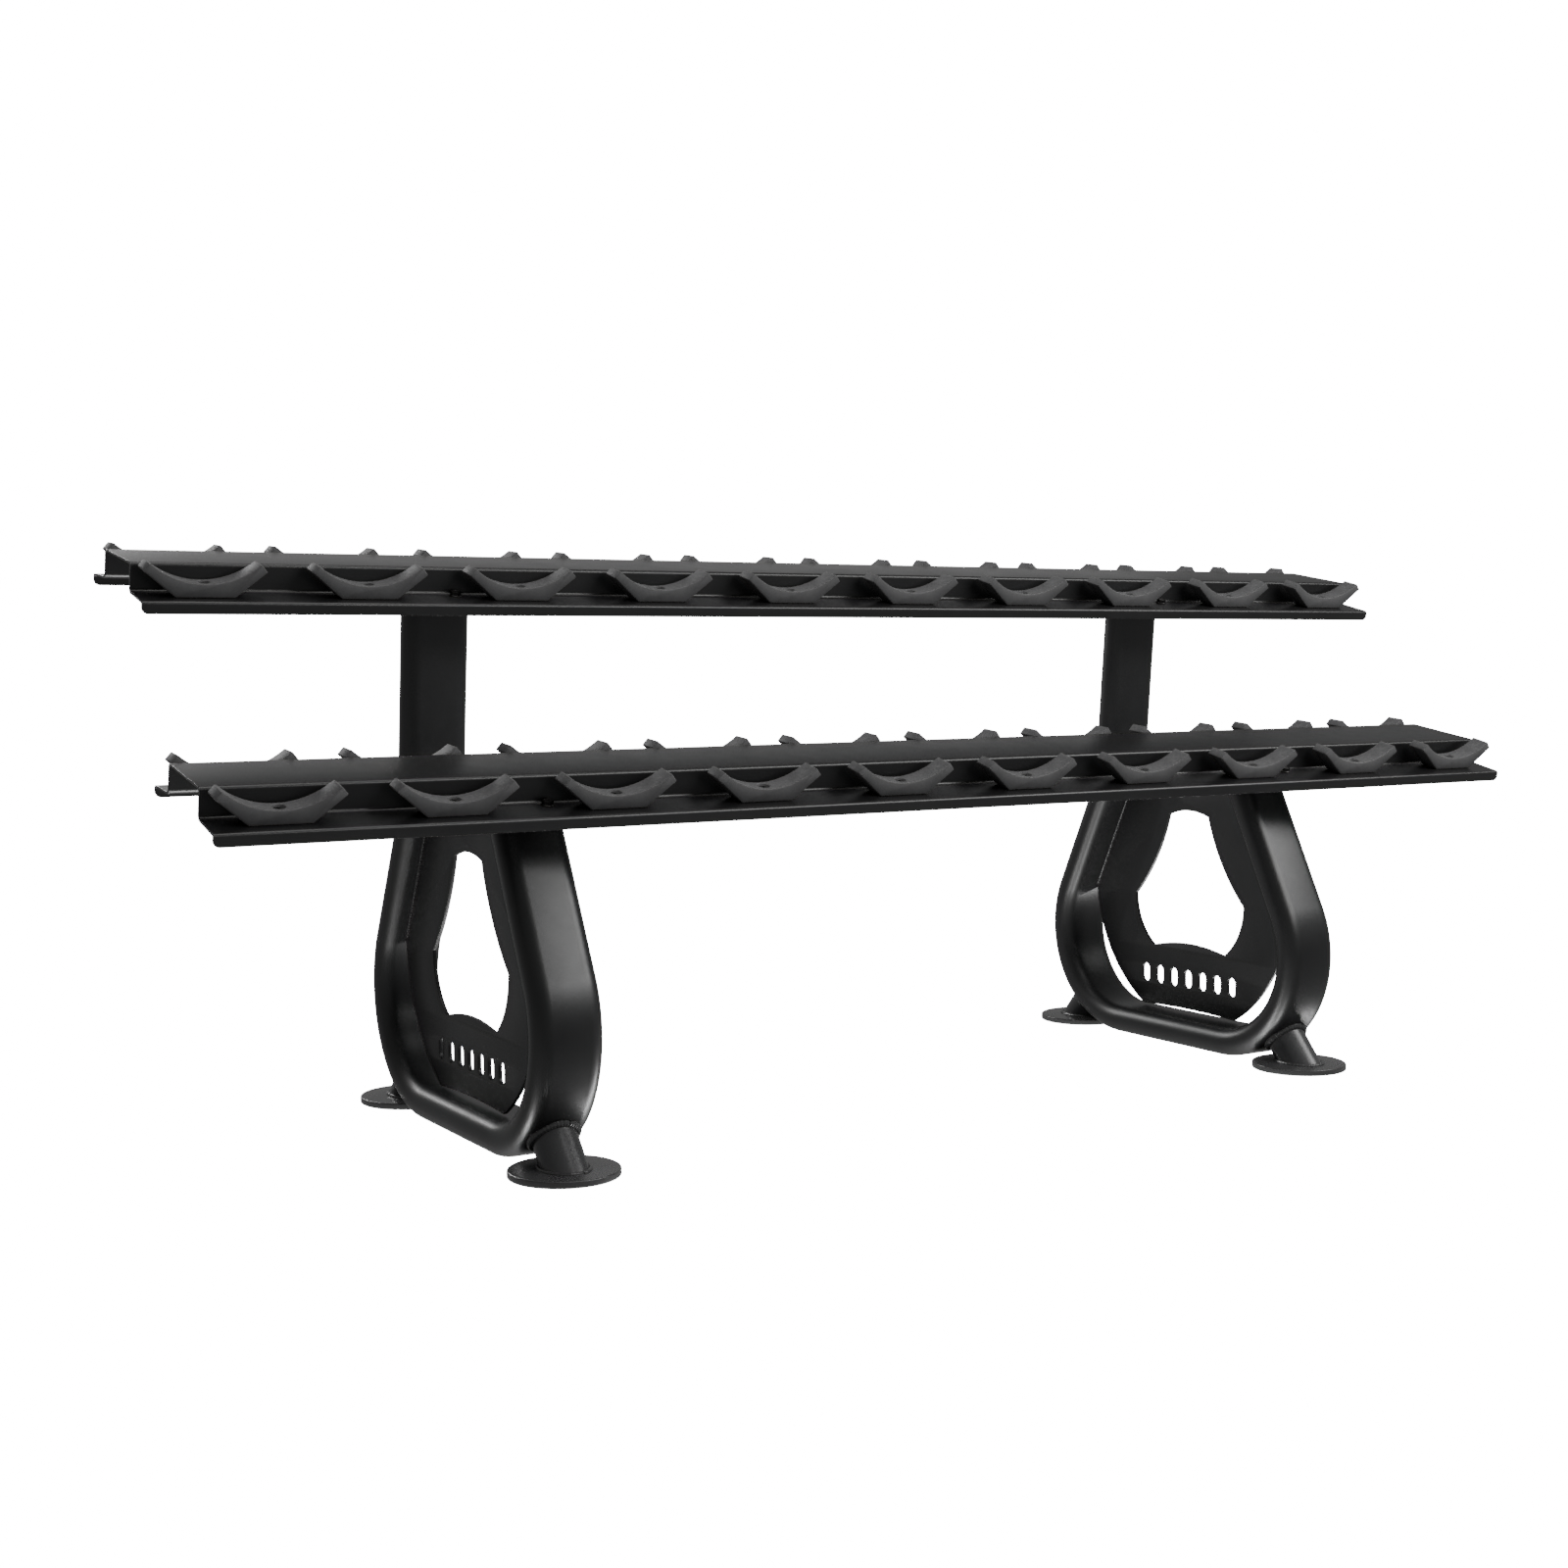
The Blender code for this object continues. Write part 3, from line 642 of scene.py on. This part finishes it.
def socket_screw():
    """A cap screw: a tall round head with a hexagon socket, its underside at z = 0."""
    socket = hexagon(SCREW_SOCKET)
    rim = SCREW_HEAD_RADIUS
    top = SCREW_HEAD_HEIGHT
    return turned("saddle_screw", (
        (SCREW_RADIUS, -SCREW_LENGTH), (SCREW_RADIUS, 0.0), (rim - 0.0002, 0.0), (rim, 0.0006),
        (rim, top - 0.0009), (rim - 0.0004, top - 0.0003), (rim - 0.0012, top), (0.0040, top),
        (socket, top - 0.0002), (socket, top / 2.0), (PIP, 0.0031),
    ))


def flange_bolt():
    """A hexagon head on a round flange, its underside at z = 0."""
    flats = hexagon(BOLT_FLATS)
    crown = hexagon(BOLT_CROWN_FLATS)
    rim = BOLT_FLANGE_RADIUS
    return turned("flange_bolt", (
        (BOLT_RADIUS, -BOLT_LENGTH), (BOLT_RADIUS, 0.0), (rim, 0.0), (rim, 0.0009),
        (rim - 0.0007, 0.0017), (flats, 0.0021), (flats, 0.0066), (crown, 0.0074),
        (0.0054, 0.0075), (0.0050, 0.0071), (PIP, 0.0071),
    ))


def nut(name, across_flats, height):
    """A plain nut, filled by the bolt that it is on, its face at z = 0 and its body below."""
    flats = hexagon(across_flats)
    small = hexagon(across_flats * 0.94)
    sunk = -height * 0.9
    return turned(name, (
        (small, 0.0), (flats, -height * 0.12), (flats, -height * 0.88), (small, -height),
        (across_flats * 0.34, -height), (across_flats * 0.31, sunk), (PIP, sunk),
    ))


# %% Seat the saddles and drive their screws
def saddle_frame(level, side, row, number):
    """The saddle's base on its flange. The box's middle is the middle of the block."""
    low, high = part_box(f"saddle_{level}_{row}_{number:02d}")
    turn = Matrix.Rotation(TIER_TILT - side * TIER_DROOP, 4, "X")
    base = (low + high) / 2.0 - turn.to_3x3() @ Vector((0.0, 0.0, SADDLE_TALL / 2.0))
    return Matrix.Translation(base) @ turn


def make_saddles():
    pad = saddle_mesh()
    screw = socket_screw()
    screw_nut = nut("saddle_nut", *SADDLE_NUT)
    head = Matrix.Translation((0.0, 0.0, SADDLE_MID_HEIGHT - BORE_DEPTH))
    under = Matrix.Translation((0.0, 0.0, -GAP - TIER_SHEET))
    for level in LEVELS:
        for side, row in ROWS:
            for number in range(1, SADDLES_PER_ROW + 1):
                seat = saddle_frame(level, side, row, number)
                name = f"{level}_{row}_{number:02d}"
                place(f"saddle_pad_{name}", pad, seat, rubber, "saddle_rubber", [f"saddle_{name}"])
                twist = Matrix.Rotation(SCREW_TURN * number + side, 4, "Z")
                place(f"saddle_screw_{name}", screw, seat @ head @ twist, oxide, "bracket_steel")
                place(f"saddle_nut_{name}", screw_nut, seat @ under @ twist, oxide, "bracket_steel")
    return pad


pad_mesh = make_saddles()
print("saddles:", 4 * SADDLES_PER_ROW, "faces each:", len(pad_mesh.polygons))

# %% [markdown]
# ## Upright tubes
# Each upright is one flat-oval tube on one centre line: up the front leg's lean, round the two
# bottom bends, and up past the knee as the post. The section is carried along that line as
# rings square to it, and both ends are cut to the brackets that they are welded to.

# %% The tube's line
BEND_STEPS = 48
KNEE_STEPS = 14
OVAL_STEPS = 14


def leg_y(z):
    return LOOP_CORNER_Y - (z - LOOP_BOTTOM_Z) * math.tan(LOOP_LEAN)


def bracket_underside(level):
    """A point and the normal of the face that a tube's end is cut to, in (y, z)."""
    drop = TIER_WEB + TIER_SHEET + GAP + BRACKET_THICKNESS + GAP
    point = TIER_FRAMES[level] @ Vector((0.0, 0.0, -drop))
    normal = TIER_FRAMES[level].to_3x3() @ Vector((0.0, 0.0, 1.0))
    return Vector((point.y, point.z)), Vector((normal.y, normal.z))


def where_meets(start, direction, point, normal):
    return start + direction * ((point - start).dot(normal) / direction.dot(normal))


def loop_path():
    front = Vector((-LOOP_CORNER_Y, LOOP_BOTTOM_Z))
    rear = Vector((LOOP_CORNER_Y, LOOP_BOTTOM_Z))
    knee = Vector((leg_y(KNEE_Z), KNEE_Z))
    up_front = Vector((math.sin(LOOP_LEAN), math.cos(LOOP_LEAN)))
    up_post = Vector((-math.sin(POST_LEAN), math.cos(POST_LEAN)))
    start = where_meets(front, up_front, *bracket_underside("lower"))
    end = where_meets(knee, up_post, *bracket_underside("upper"))
    radii = [LOOP_BEND_RADIUS, LOOP_BEND_RADIUS, KNEE_RADIUS]
    return rounded_path([start, front, rear, knee, end], radii, [BEND_STEPS, BEND_STEPS, KNEE_STEPS])


def oval(width, depth):
    radius = depth / 2.0
    flat = width / 2.0 - radius
    points = []
    for centre, first in ((flat, -math.pi / 2.0), (-flat, math.pi / 2.0)):
        for i in range(OVAL_STEPS + 1):
            points.append(polar(radius, first + math.pi * i / OVAL_STEPS, (centre, 0.0)))
    return points


def tube_rings(section, path, end_planes):
    """Rings of the section square to the path. Ends lie on their planes."""
    rings = []
    last = len(path) - 1
    for i, centre in enumerate(path):
        into = (centre - path[i - 1]).normalized() if i > 0 else None
        away = (path[i + 1] - centre).normalized() if i < last else None
        along = ((into or away) + (away or into)).normalized()
        stretch = 1.0 / along.dot(away or into)
        across = Vector((-along.y, along.x))
        ring = []
        for x, offset in section:
            point = centre + across * offset * stretch
            if i in end_planes:
                point = where_meets(point, along, *end_planes[i])
            ring.append((x, point.x, point.y))
        rings.append(ring)
    return rings


# %% Bend the tubes
UPRIGHT_PATH = loop_path()
END_PLANES = {0: bracket_underside("lower"), len(UPRIGHT_PATH) - 1: bracket_underside("upper")}


def upright_mesh():
    outside = tube_rings(oval(TUBE_WIDTH, TUBE_DEPTH), UPRIGHT_PATH, END_PLANES)
    bore = oval(TUBE_WIDTH - 2.0 * TUBE_WALL, TUBE_DEPTH - 2.0 * TUBE_WALL)
    inside = tube_rings(bore, UPRIGHT_PATH, END_PLANES)
    rings = outside + list(reversed(inside))
    return mesh_from("bent_tube", lambda bm: skin(bm, rings, closed=True))


tube = upright_mesh()
for sign, hand in HANDS:
    at = Matrix.Translation((sign * UPRIGHT_X, 0.0, 0.0))
    place(f"{hand}_bent_tube", tube, at, upright_coat, "upright_steel", [f"{hand}_upright_tube"])
print("tubes bent, faces each:", len(tube.polygons))

# %% [markdown]
# ## Gusset plates
# A gusset plate is cut from flat sheet, so its outline is everything: the sides follow the legs
# and then leave them, the window is cut out, and a row of plain upright slots is cut below it. A
# filled 2-D curve makes that in one go, holes and all, and its bevel breaks the cut edges.

# %% The plate's outlines
ON_MIDDLE = 1e-9
VENT_END_STEPS = 12
SAME_POINT = 0.00002


def mirrored(half):
    """Closes a half outline, given from bottom to top at +Y, across Y = 0."""
    return half + [(-y, z) for y, z in reversed(half) if y > ON_MIDDLE]


def right_half(points):
    return [point for point in points if point[0] >= -ON_MIDDLE]


def plate_outline():
    face = (TUBE_DEPTH / 2.0 + GAP) / math.cos(LOOP_LEAN)
    corner = (PLATE_BOTTOM_HALF, PLATE_BOTTOM_Z)
    shoulder = (leg_y(PLATE_LEAVES_LEG_Z) - face, PLATE_LEAVES_LEG_Z)
    half = right_half(bowed((-PLATE_BOTTOM_HALF, PLATE_BOTTOM_Z), corner, -PLATE_BOTTOM_RISE))
    half += bowed(corner, shoulder, PLATE_SIDE_BULGE)[1:]
    half.append((leg_y(PLATE_TOP_Z) - face, PLATE_TOP_Z))
    return mirrored(half)


def window_outline():
    left_foot = (-WINDOW_FOOT[0], WINDOW_FOOT[1])
    left_top = (-WINDOW_TOP[0], WINDOW_TOP[1])
    half = right_half(bowed(left_foot, WINDOW_FOOT, -WINDOW_FOOT_RISE))
    half += bowed(WINDOW_FOOT, WINDOW_WAIST, WINDOW_HIP_BULGE)[1:]
    half += bowed(WINDOW_WAIST, WINDOW_TOP, -WINDOW_SIDE_BOW)[1:]
    half += right_half(bowed(WINDOW_TOP, left_top, WINDOW_TOP_RISE)[1:])
    return mirrored(half)


def vent_outline(y):
    radius = VENT_WIDTH / 2.0
    straight = VENT_HEIGHT / 2.0 - radius
    points = []
    for centre, first in ((straight, 0.0), (-straight, math.pi)):
        for i in range(VENT_END_STEPS + 1):
            turn = first + math.pi * i / VENT_END_STEPS
            points.append(polar(radius, turn, (y, VENT_Z + centre)))
    return points


# %% Cut the plates
def flat_cut(name, outlines, thickness):
    """A plate cut from sheet, as a mesh in the (y, z) plane."""
    curve = bpy.data.curves.new(name, "CURVE")
    curve.dimensions = "2D"
    curve.fill_mode = "BOTH"
    curve.extrude = thickness / 2.0 - CUT_EDGE
    curve.bevel_depth = CUT_EDGE
    curve.offset = -CUT_EDGE
    curve.bevel_resolution = 1
    for outline in outlines:
        spline = curve.splines.new("POLY")
        spline.points.add(len(outline) - 1)
        for point, (y, z) in zip(spline.points, outline):
            point.co = (y, z, 0.0, 1.0)
        spline.use_cyclic_u = True
    shape = bpy.data.objects.new(name, curve)
    bpy.context.scene.collection.objects.link(shape)
    flat = baked(shape)
    bm = bmesh.new()
    bm.from_mesh(flat)
    bmesh.ops.remove_doubles(bm, verts=bm.verts, dist=SAME_POINT)
    bmesh.ops.recalc_face_normals(bm, faces=bm.faces)
    bm.to_mesh(flat)
    bm.free()
    flat.name = name
    flat.materials.clear()
    flat.shade_smooth()
    flat.set_sharp_from_angle(angle=SHARP_ANGLE)
    return flat


def make_plates():
    vents = [vent_outline((i - (VENT_COUNT - 1) / 2.0) * VENT_PITCH) for i in range(VENT_COUNT)]
    sheet = flat_cut("gusset_sheet", [plate_outline(), window_outline()] + vents, PLATE_THICKNESS)
    upright_plane = Matrix(((0, 0, 1, 0), (1, 0, 0, 0), (0, 1, 0, 0), (0, 0, 0, 1)))
    for sign, hand in HANDS:
        at = Matrix.Translation((sign * PLATE_X, 0.0, 0.0)) @ upright_plane
        place(f"{hand}_gusset", sheet, at, plate_coat, "plate_steel", [f"{hand}_gusset_plate"])
    return sheet


gusset = make_plates()
print("gussets cut, faces each:", len(gusset.polygons))

# %% [markdown]
# ## Feet
# A floor disc is a turned plate with a soft rim. The foot tube stands on it and runs square into
# the loop's bend. Its upper end is coped, which means cut to the curve it meets: the bend's
# outer face is a cylinder, so each line of the tube ends where it reaches that cylinder.

# %% The foot tube's two ends
BEND_TANGENT = LOOP_BEND_RADIUS / math.tan((math.pi / 2.0 - LOOP_LEAN) / 2.0)
BEND_CENTRE = Vector((0.0, LOOP_CORNER_Y - BEND_TANGENT, LOOP_BOTTOM_Z + LOOP_BEND_RADIUS))
BEND_OUTSIDE = LOOP_BEND_RADIUS + TUBE_DEPTH / 2.0
FOOT_SIDES = 64
DISC_SIDES = 128
DISC_RIM = 0.0018
DISC_RIM_STEPS = 5
DISC_MIDDLE = 0.25


def foot_lines(side, radius):
    """For each line down the tube's wall: its end on the disc and its end on the bend."""
    centre = Vector((0.0, side * BEND_CENTRE.y, BEND_CENTRE.z))
    base = Vector((0.0, side * DISC_Y, DISC_THICKNESS))
    axis = (centre - base).normalized()
    third = axis.cross(Vector((1.0, 0.0, 0.0)))
    whole = (centre - base).length
    lines = []
    for i in range(FOOT_SIDES):
        a, b = polar(radius, 2.0 * math.pi * i / FOOT_SIDES)
        line = base + Vector((a, 0.0, 0.0)) + third * b
        foot = line + axis * ((DISC_THICKNESS - line.z) / axis.z)
        head = line + axis * (whole - math.sqrt(BEND_OUTSIDE ** 2 - b * b))
        lines.append((foot, head))
    return lines


def foot_tube_mesh(side):
    outer = foot_lines(side, FOOT_TUBE_RADIUS)
    inner = foot_lines(side, FOOT_TUBE_RADIUS - TUBE_WALL)

    def build(bm):
        low, high = [list(ends) for ends in zip(*outer)]
        low_in, high_in = [list(ends) for ends in zip(*inner)]
        skin(bm, [low, high, high_in, low_in], closed=True)

    return mesh_from("foot_tube", build)


def disc_mesh():
    rings = [(DISC_RADIUS * DISC_MIDDLE, 0.0)]
    for centre_z, first in ((DISC_RIM, -math.pi / 2.0), (DISC_THICKNESS - DISC_RIM, 0.0)):
        for i in range(DISC_RIM_STEPS + 1):
            turn = first + math.pi / 2.0 * i / DISC_RIM_STEPS
            rings.append(polar(DISC_RIM, turn, (DISC_RADIUS - DISC_RIM, centre_z)))
    rings.append((DISC_RADIUS * DISC_MIDDLE, DISC_THICKNESS))
    return turned("floor_disc", rings, sides=DISC_SIDES)


# %% [markdown]
# ## Weld beads
# A weld bead is a row of overlapping puddles. Here it is a thin tube along the seam, with its
# thickness rising and falling once for each puddle, half sunk in the metal on both sides.

# %% Lay a bead along a seam
PUDDLE_LENGTH = 0.0045
PUDDLE_LOW = 0.86
PUDDLE_RISE = 0.2
BEAD_SIDES = 10
BEAD_STEP = 0.0012
BEAD_RADIUS = {"floor": 0.0034, "bend": 0.0058, "gusset": 0.0024, "top": 0.003}
SEAM_OUT = 0.001
SEAM_INSET = 0.004
NEARLY_ALONG_X = 0.95


def bead_mesh(name, seam, radius, closed):
    """A rippled tube along the points of a seam."""
    points = [Vector(point) for point in seam]
    count = len(points)
    rings = []
    travelled = 0.0
    for i, here in enumerate(points):
        before = points[i - 1] if closed or i > 0 else here
        after = points[(i + 1) % count] if closed or i < count - 1 else here
        along = (after - before).normalized()
        first = along.cross(Vector((1.0, 0.0, 0.0)))
        if abs(along.x) > NEARLY_ALONG_X:
            first = along.orthogonal()
        first.normalize()
        second = along.cross(first)
        phase = (travelled / PUDDLE_LENGTH) % 1.0
        reach = radius * (PUDDLE_LOW + PUDDLE_RISE * math.sqrt(1.0 - phase))
        angles = [2.0 * math.pi * j / BEAD_SIDES for j in range(BEAD_SIDES)]
        rings.append([here + (first * math.cos(a) + second * math.sin(a)) * reach for a in angles])
        if i < count - 1:
            travelled += (points[i + 1] - here).length
    return mesh_from(name, lambda bm: skin(bm, rings, closed=closed))


def spaced(points, closed):
    """The same line with points an even step apart."""
    line = [Vector(point) for point in points]
    if closed:
        line.append(line[0])
    lengths = [(b - a).length for a, b in zip(line, line[1:])]
    marks = np.concatenate(([0.0], np.cumsum(lengths)))
    count = int(marks[-1] / BEAD_STEP)
    wanted = np.linspace(0.0, marks[-1], count + 1)
    if closed:
        wanted = wanted[:-1]
    columns = [np.interp(wanted, marks, [point[k] for point in line]) for k in range(3)]
    return [Vector(values) for values in zip(*columns)]


# %% Stand the feet and weld them
def make_feet():
    disc = disc_mesh()
    for side, end in ROWS:
        foot = foot_tube_mesh(side)
        lines = foot_lines(side, FOOT_TUBE_RADIUS + SEAM_OUT)
        seams = {"floor": [line[0] for line in lines], "bend": [line[1] for line in lines]}
        beads = {
            spot: bead_mesh(f"weld_{end}_{spot}", spaced(seam, True), BEAD_RADIUS[spot], True)
            for spot, seam in seams.items()
        }
        for sign, hand in HANDS:
            at = Matrix.Translation((sign * UPRIGHT_X, 0.0, 0.0))
            name = f"{hand}_{end}"
            place(f"{name}_foot", foot, at, lit_foot_coat, "foot_steel", [f"{name}_foot_tube"])
            on_floor = Matrix.Translation((sign * UPRIGHT_X, side * DISC_Y, 0.0))
            place(f"{name}_disc", disc, on_floor, lit_foot_coat, "foot_steel", [f"{name}_foot_disc"])
            for spot, bead in beads.items():
                place(f"{name}_{spot}_weld", bead, at, lit_foot_coat, "foot_steel")


def make_gusset_welds():
    face = TUBE_DEPTH / 2.0 / math.cos(LOOP_LEAN)
    heights = (PLATE_LEAVES_LEG_Z + SEAM_INSET, PLATE_TOP_Z - SEAM_INSET)
    for side, end in ROWS:
        seam = [(0.0, side * (leg_y(z) - face), z) for z in heights]
        bead = bead_mesh(f"gusset_weld_{end}", spaced(seam, False), BEAD_RADIUS["gusset"], False)
        for sign, hand in HANDS:
            for cheek in (-1, 1):
                x = sign * PLATE_X + cheek * PLATE_THICKNESS / 2.0
                name = f"{hand}_gusset_{end}_weld_{'inner' if cheek * sign < 0 else 'outer'}"
                place(name, bead, Matrix.Translation((x, 0.0, 0.0)), upright_coat, "plate_steel")


make_feet()
make_gusset_welds()
print("feet and gussets welded")

# %% [markdown]
# ## Brackets and bolts
# A cross bracket is welded to each tube's end, and the tier is bolted down on its two wings. The
# brackets are seen only from below, so they stay simple: a bent plate with rounded edges,
# and through each wing a flange bolt with its nut.

# %% Make the brackets
def bracket_mesh():
    top = -TIER_WEB - TIER_SHEET - GAP
    wing = (BRACKET_HALF_SPAN - TIER_TOP_HALF) * math.tan(TIER_DROOP)
    half = [(TIER_TOP_HALF, top), (BRACKET_HALF_SPAN, top - wing)]
    upper = [(-y, z) for y, z in reversed(half)] + half
    outline = upper + [(y, z - BRACKET_THICKNESS) for y, z in reversed(upper)]
    ends = (-BRACKET_WIDTH / 2.0, BRACKET_WIDTH / 2.0)
    rings = [[(x, y, z) for y, z in outline] for x in ends]
    return mesh_from("cross_bracket", lambda bm: skin(bm, rings))


def bolt_frame(side):
    """In the tier's frame: the spot on the flange where a bolt goes through."""
    y = side * (TIER_TOP_HALF + BOLT_OFFSET)
    z = -TIER_WEB - BOLT_OFFSET * math.tan(TIER_DROOP)
    return Matrix.Translation((0.0, y, z)) @ Matrix.Rotation(-side * TIER_DROOP, 4, "X")


def make_brackets():
    bracket = bracket_mesh()
    bolt = flange_bolt()
    bolt_nut = nut("flange_nut", *FLANGE_NUT)
    under = Matrix.Translation((0.0, 0.0, -TIER_SHEET - GAP - BRACKET_THICKNESS))
    for level in LEVELS:
        end = 0 if level == "lower" else len(UPRIGHT_PATH) - 1
        ring = tube_rings(oval(TUBE_WIDTH, TUBE_DEPTH), UPRIGHT_PATH, END_PLANES)[end]
        seam = bead_mesh(f"{level}_top_weld", spaced(ring, True), BEAD_RADIUS["top"], True)
        for sign, hand in HANDS:
            at = Matrix.Translation((sign * UPRIGHT_X, 0.0, 0.0))
            name = f"{hand}_{level}"
            on_tier = at @ TIER_FRAMES[level]
            solid = [f"{name}_bracket"]
            plate = place(f"{name}_cross", bracket, on_tier, plate_coat, "bracket_steel", solid)
            break_edges(plate, BRACKET_EDGE)
            place(f"{name}_top_weld", seam, at, upright_coat, "bracket_steel")
            for side, row in ROWS:
                spot = on_tier @ bolt_frame(side)
                place(f"{name}_{row}_bolt", bolt, spot, oxide, "bracket_steel")
                place(f"{name}_{row}_nut", bolt_nut, spot @ under, oxide, "bracket_steel")


make_brackets()
print("brackets bolted")

# %% [markdown]
# ## Floor, lights and camera
# The rack stands on a plain pale floor. The room is white to the eye but dim to the metal, as a
# studio with black flags around it is, so that black paint keeps its depth. A broad soft light
# in front draws the long highlights down the legs, and strips behind draw streaks on the tiers.

# %% Floor and room
FLOOR_HALF = 60.0
FLOOR_THICKNESS = 0.01
SEEN_WHITE = 17.0
ROOM_LIGHT = 0.24


def make_floor():
    corners = [(-FLOOR_HALF, -FLOOR_HALF), (FLOOR_HALF, -FLOOR_HALF)]
    corners += [(FLOOR_HALF, FLOOR_HALF), (-FLOOR_HALF, FLOOR_HALF)]
    rings = [[(x, y, z) for x, y in corners] for z in (-FLOOR_THICKNESS, 0.0)]
    mesh = mesh_from("floor", lambda bm: skin(bm, rings))
    finish = Finish("pale_floor")
    grain = finish.noise(3.0)
    mesh.materials.append(finish.wear(
        Base_Color=finish.between(grain, (0.86, 0.86, 0.86), (0.88, 0.88, 0.88)),
        Roughness=0.9,
        Specular_IOR_Level=0.1,
        Emission_Color=(1.0, 1.0, 1.0, 1.0),
        Emission_Strength=SEEN_WHITE,
    ))
    floor = bpy.data.objects.new("floor", mesh)
    bpy.context.scene.collection.objects.link(floor)
    floor.visible_diffuse = False
    floor.visible_glossy = False
    floor.visible_shadow = False


def make_room():
    world = bpy.data.worlds.new("studio")
    bpy.context.scene.world = world
    world.use_nodes = True
    nodes = world.node_tree.nodes
    links = world.node_tree.links
    nodes.clear()
    seen = nodes.new("ShaderNodeBackground")
    seen.inputs["Color"].default_value = (1.0, 1.0, 1.0, 1.0)
    seen.inputs["Strength"].default_value = SEEN_WHITE
    felt = nodes.new("ShaderNodeBackground")
    felt.inputs["Color"].default_value = (1.0, 1.0, 1.0, 1.0)
    felt.inputs["Strength"].default_value = ROOM_LIGHT
    path = nodes.new("ShaderNodeLightPath")
    mix = nodes.new("ShaderNodeMixShader")
    out = nodes.new("ShaderNodeOutputWorld")
    links.new(path.outputs["Is Camera Ray"], mix.inputs[0])
    links.new(felt.outputs[0], mix.inputs[1])
    links.new(seen.outputs[0], mix.inputs[2])
    links.new(mix.outputs[0], out.inputs[0])


make_floor()
make_room()
print("floor and room ready")


# %% Lights
def soft_light(name, spot, aim, width, height, power):
    light = bpy.data.lights.new(name, "AREA")
    light.shape = "RECTANGLE"
    light.size = width
    light.size_y = height
    light.energy = power
    lamp = bpy.data.objects.new(name, light)
    bpy.context.scene.collection.objects.link(lamp)
    lamp.location = spot
    lamp.rotation_mode = "QUATERNION"
    lamp.rotation_quaternion = (Vector(aim) - Vector(spot)).to_track_quat("-Z", "Y")
    lamp.visible_camera = False


MIDDLE = (0.0, 0.0, 0.4)
# each light: its place, what it faces, its width and height, its watts
soft_light("front_softbox", (1.7, -2.3, 2.3), MIDDLE, 3.2, 1.1, 95.0)
soft_light("overhead_softbox", (-0.4, -0.3, 3.4), MIDDLE, 3.0, 1.6, 36.0)
soft_light("back_panel", (1.4, 4.6, 2.8), (0.2, 0.0, 0.7), 6.0, 2.0, 8.0)
for number, x in enumerate((-1.35, -0.75)):
    soft_light(f"back_strip_{number + 1}", (x, 3.4, 2.1), (x, 0.0, 0.7), 0.10, 1.6, 30.0)
# low strips, under the level of the floor, that face the front feet from below
FEET_MIDDLE = Vector((0.0, -0.31, 0.05))
LOW_STRIP_REACH = 2.4
LOW_STRIP_WAYS = ((-0.516, 0.135, -0.848), (-0.13, -0.15, -0.98), (0.596, -0.06, -0.80))
for number, way in enumerate(LOW_STRIP_WAYS):
    spot = FEET_MIDDLE + Vector(way) * LOW_STRIP_REACH
    soft_light(f"low_strip_{number + 1}", spot, FEET_MIDDLE, 0.16, 1.8, 75.0)

# %% Camera
CAMERA_SPOT = Vector((-1.8610, -2.8263, 0.6983))
CAMERA_YAW = 0.5424
CAMERA_PITCH = -0.0611
CAMERA_ROLL = -0.0064
CAMERA_LENS = 47.91


def make_camera():
    """Yaw turns right from +Y, pitch is up, roll leans the head."""
    ahead = Vector((
        math.sin(CAMERA_YAW) * math.cos(CAMERA_PITCH),
        math.cos(CAMERA_YAW) * math.cos(CAMERA_PITCH),
        math.sin(CAMERA_PITCH),
    ))
    level = Vector((math.cos(CAMERA_YAW), -math.sin(CAMERA_YAW), 0.0))
    above = level.cross(ahead)
    right = level * math.cos(CAMERA_ROLL) + above * math.sin(CAMERA_ROLL)
    up = above * math.cos(CAMERA_ROLL) - level * math.sin(CAMERA_ROLL)
    turn = Matrix((right, up, -ahead)).transposed().to_4x4()
    camera = bpy.data.objects.new("camera", bpy.data.cameras.new("camera"))
    bpy.context.scene.collection.objects.link(camera)
    camera.matrix_world = Matrix.Translation(CAMERA_SPOT) @ turn
    camera.data.lens = CAMERA_LENS
    camera.data.sensor_width = 36.0
    bpy.context.scene.camera = camera


make_camera()
print("camera at", [round(v, 3) for v in CAMERA_SPOT])
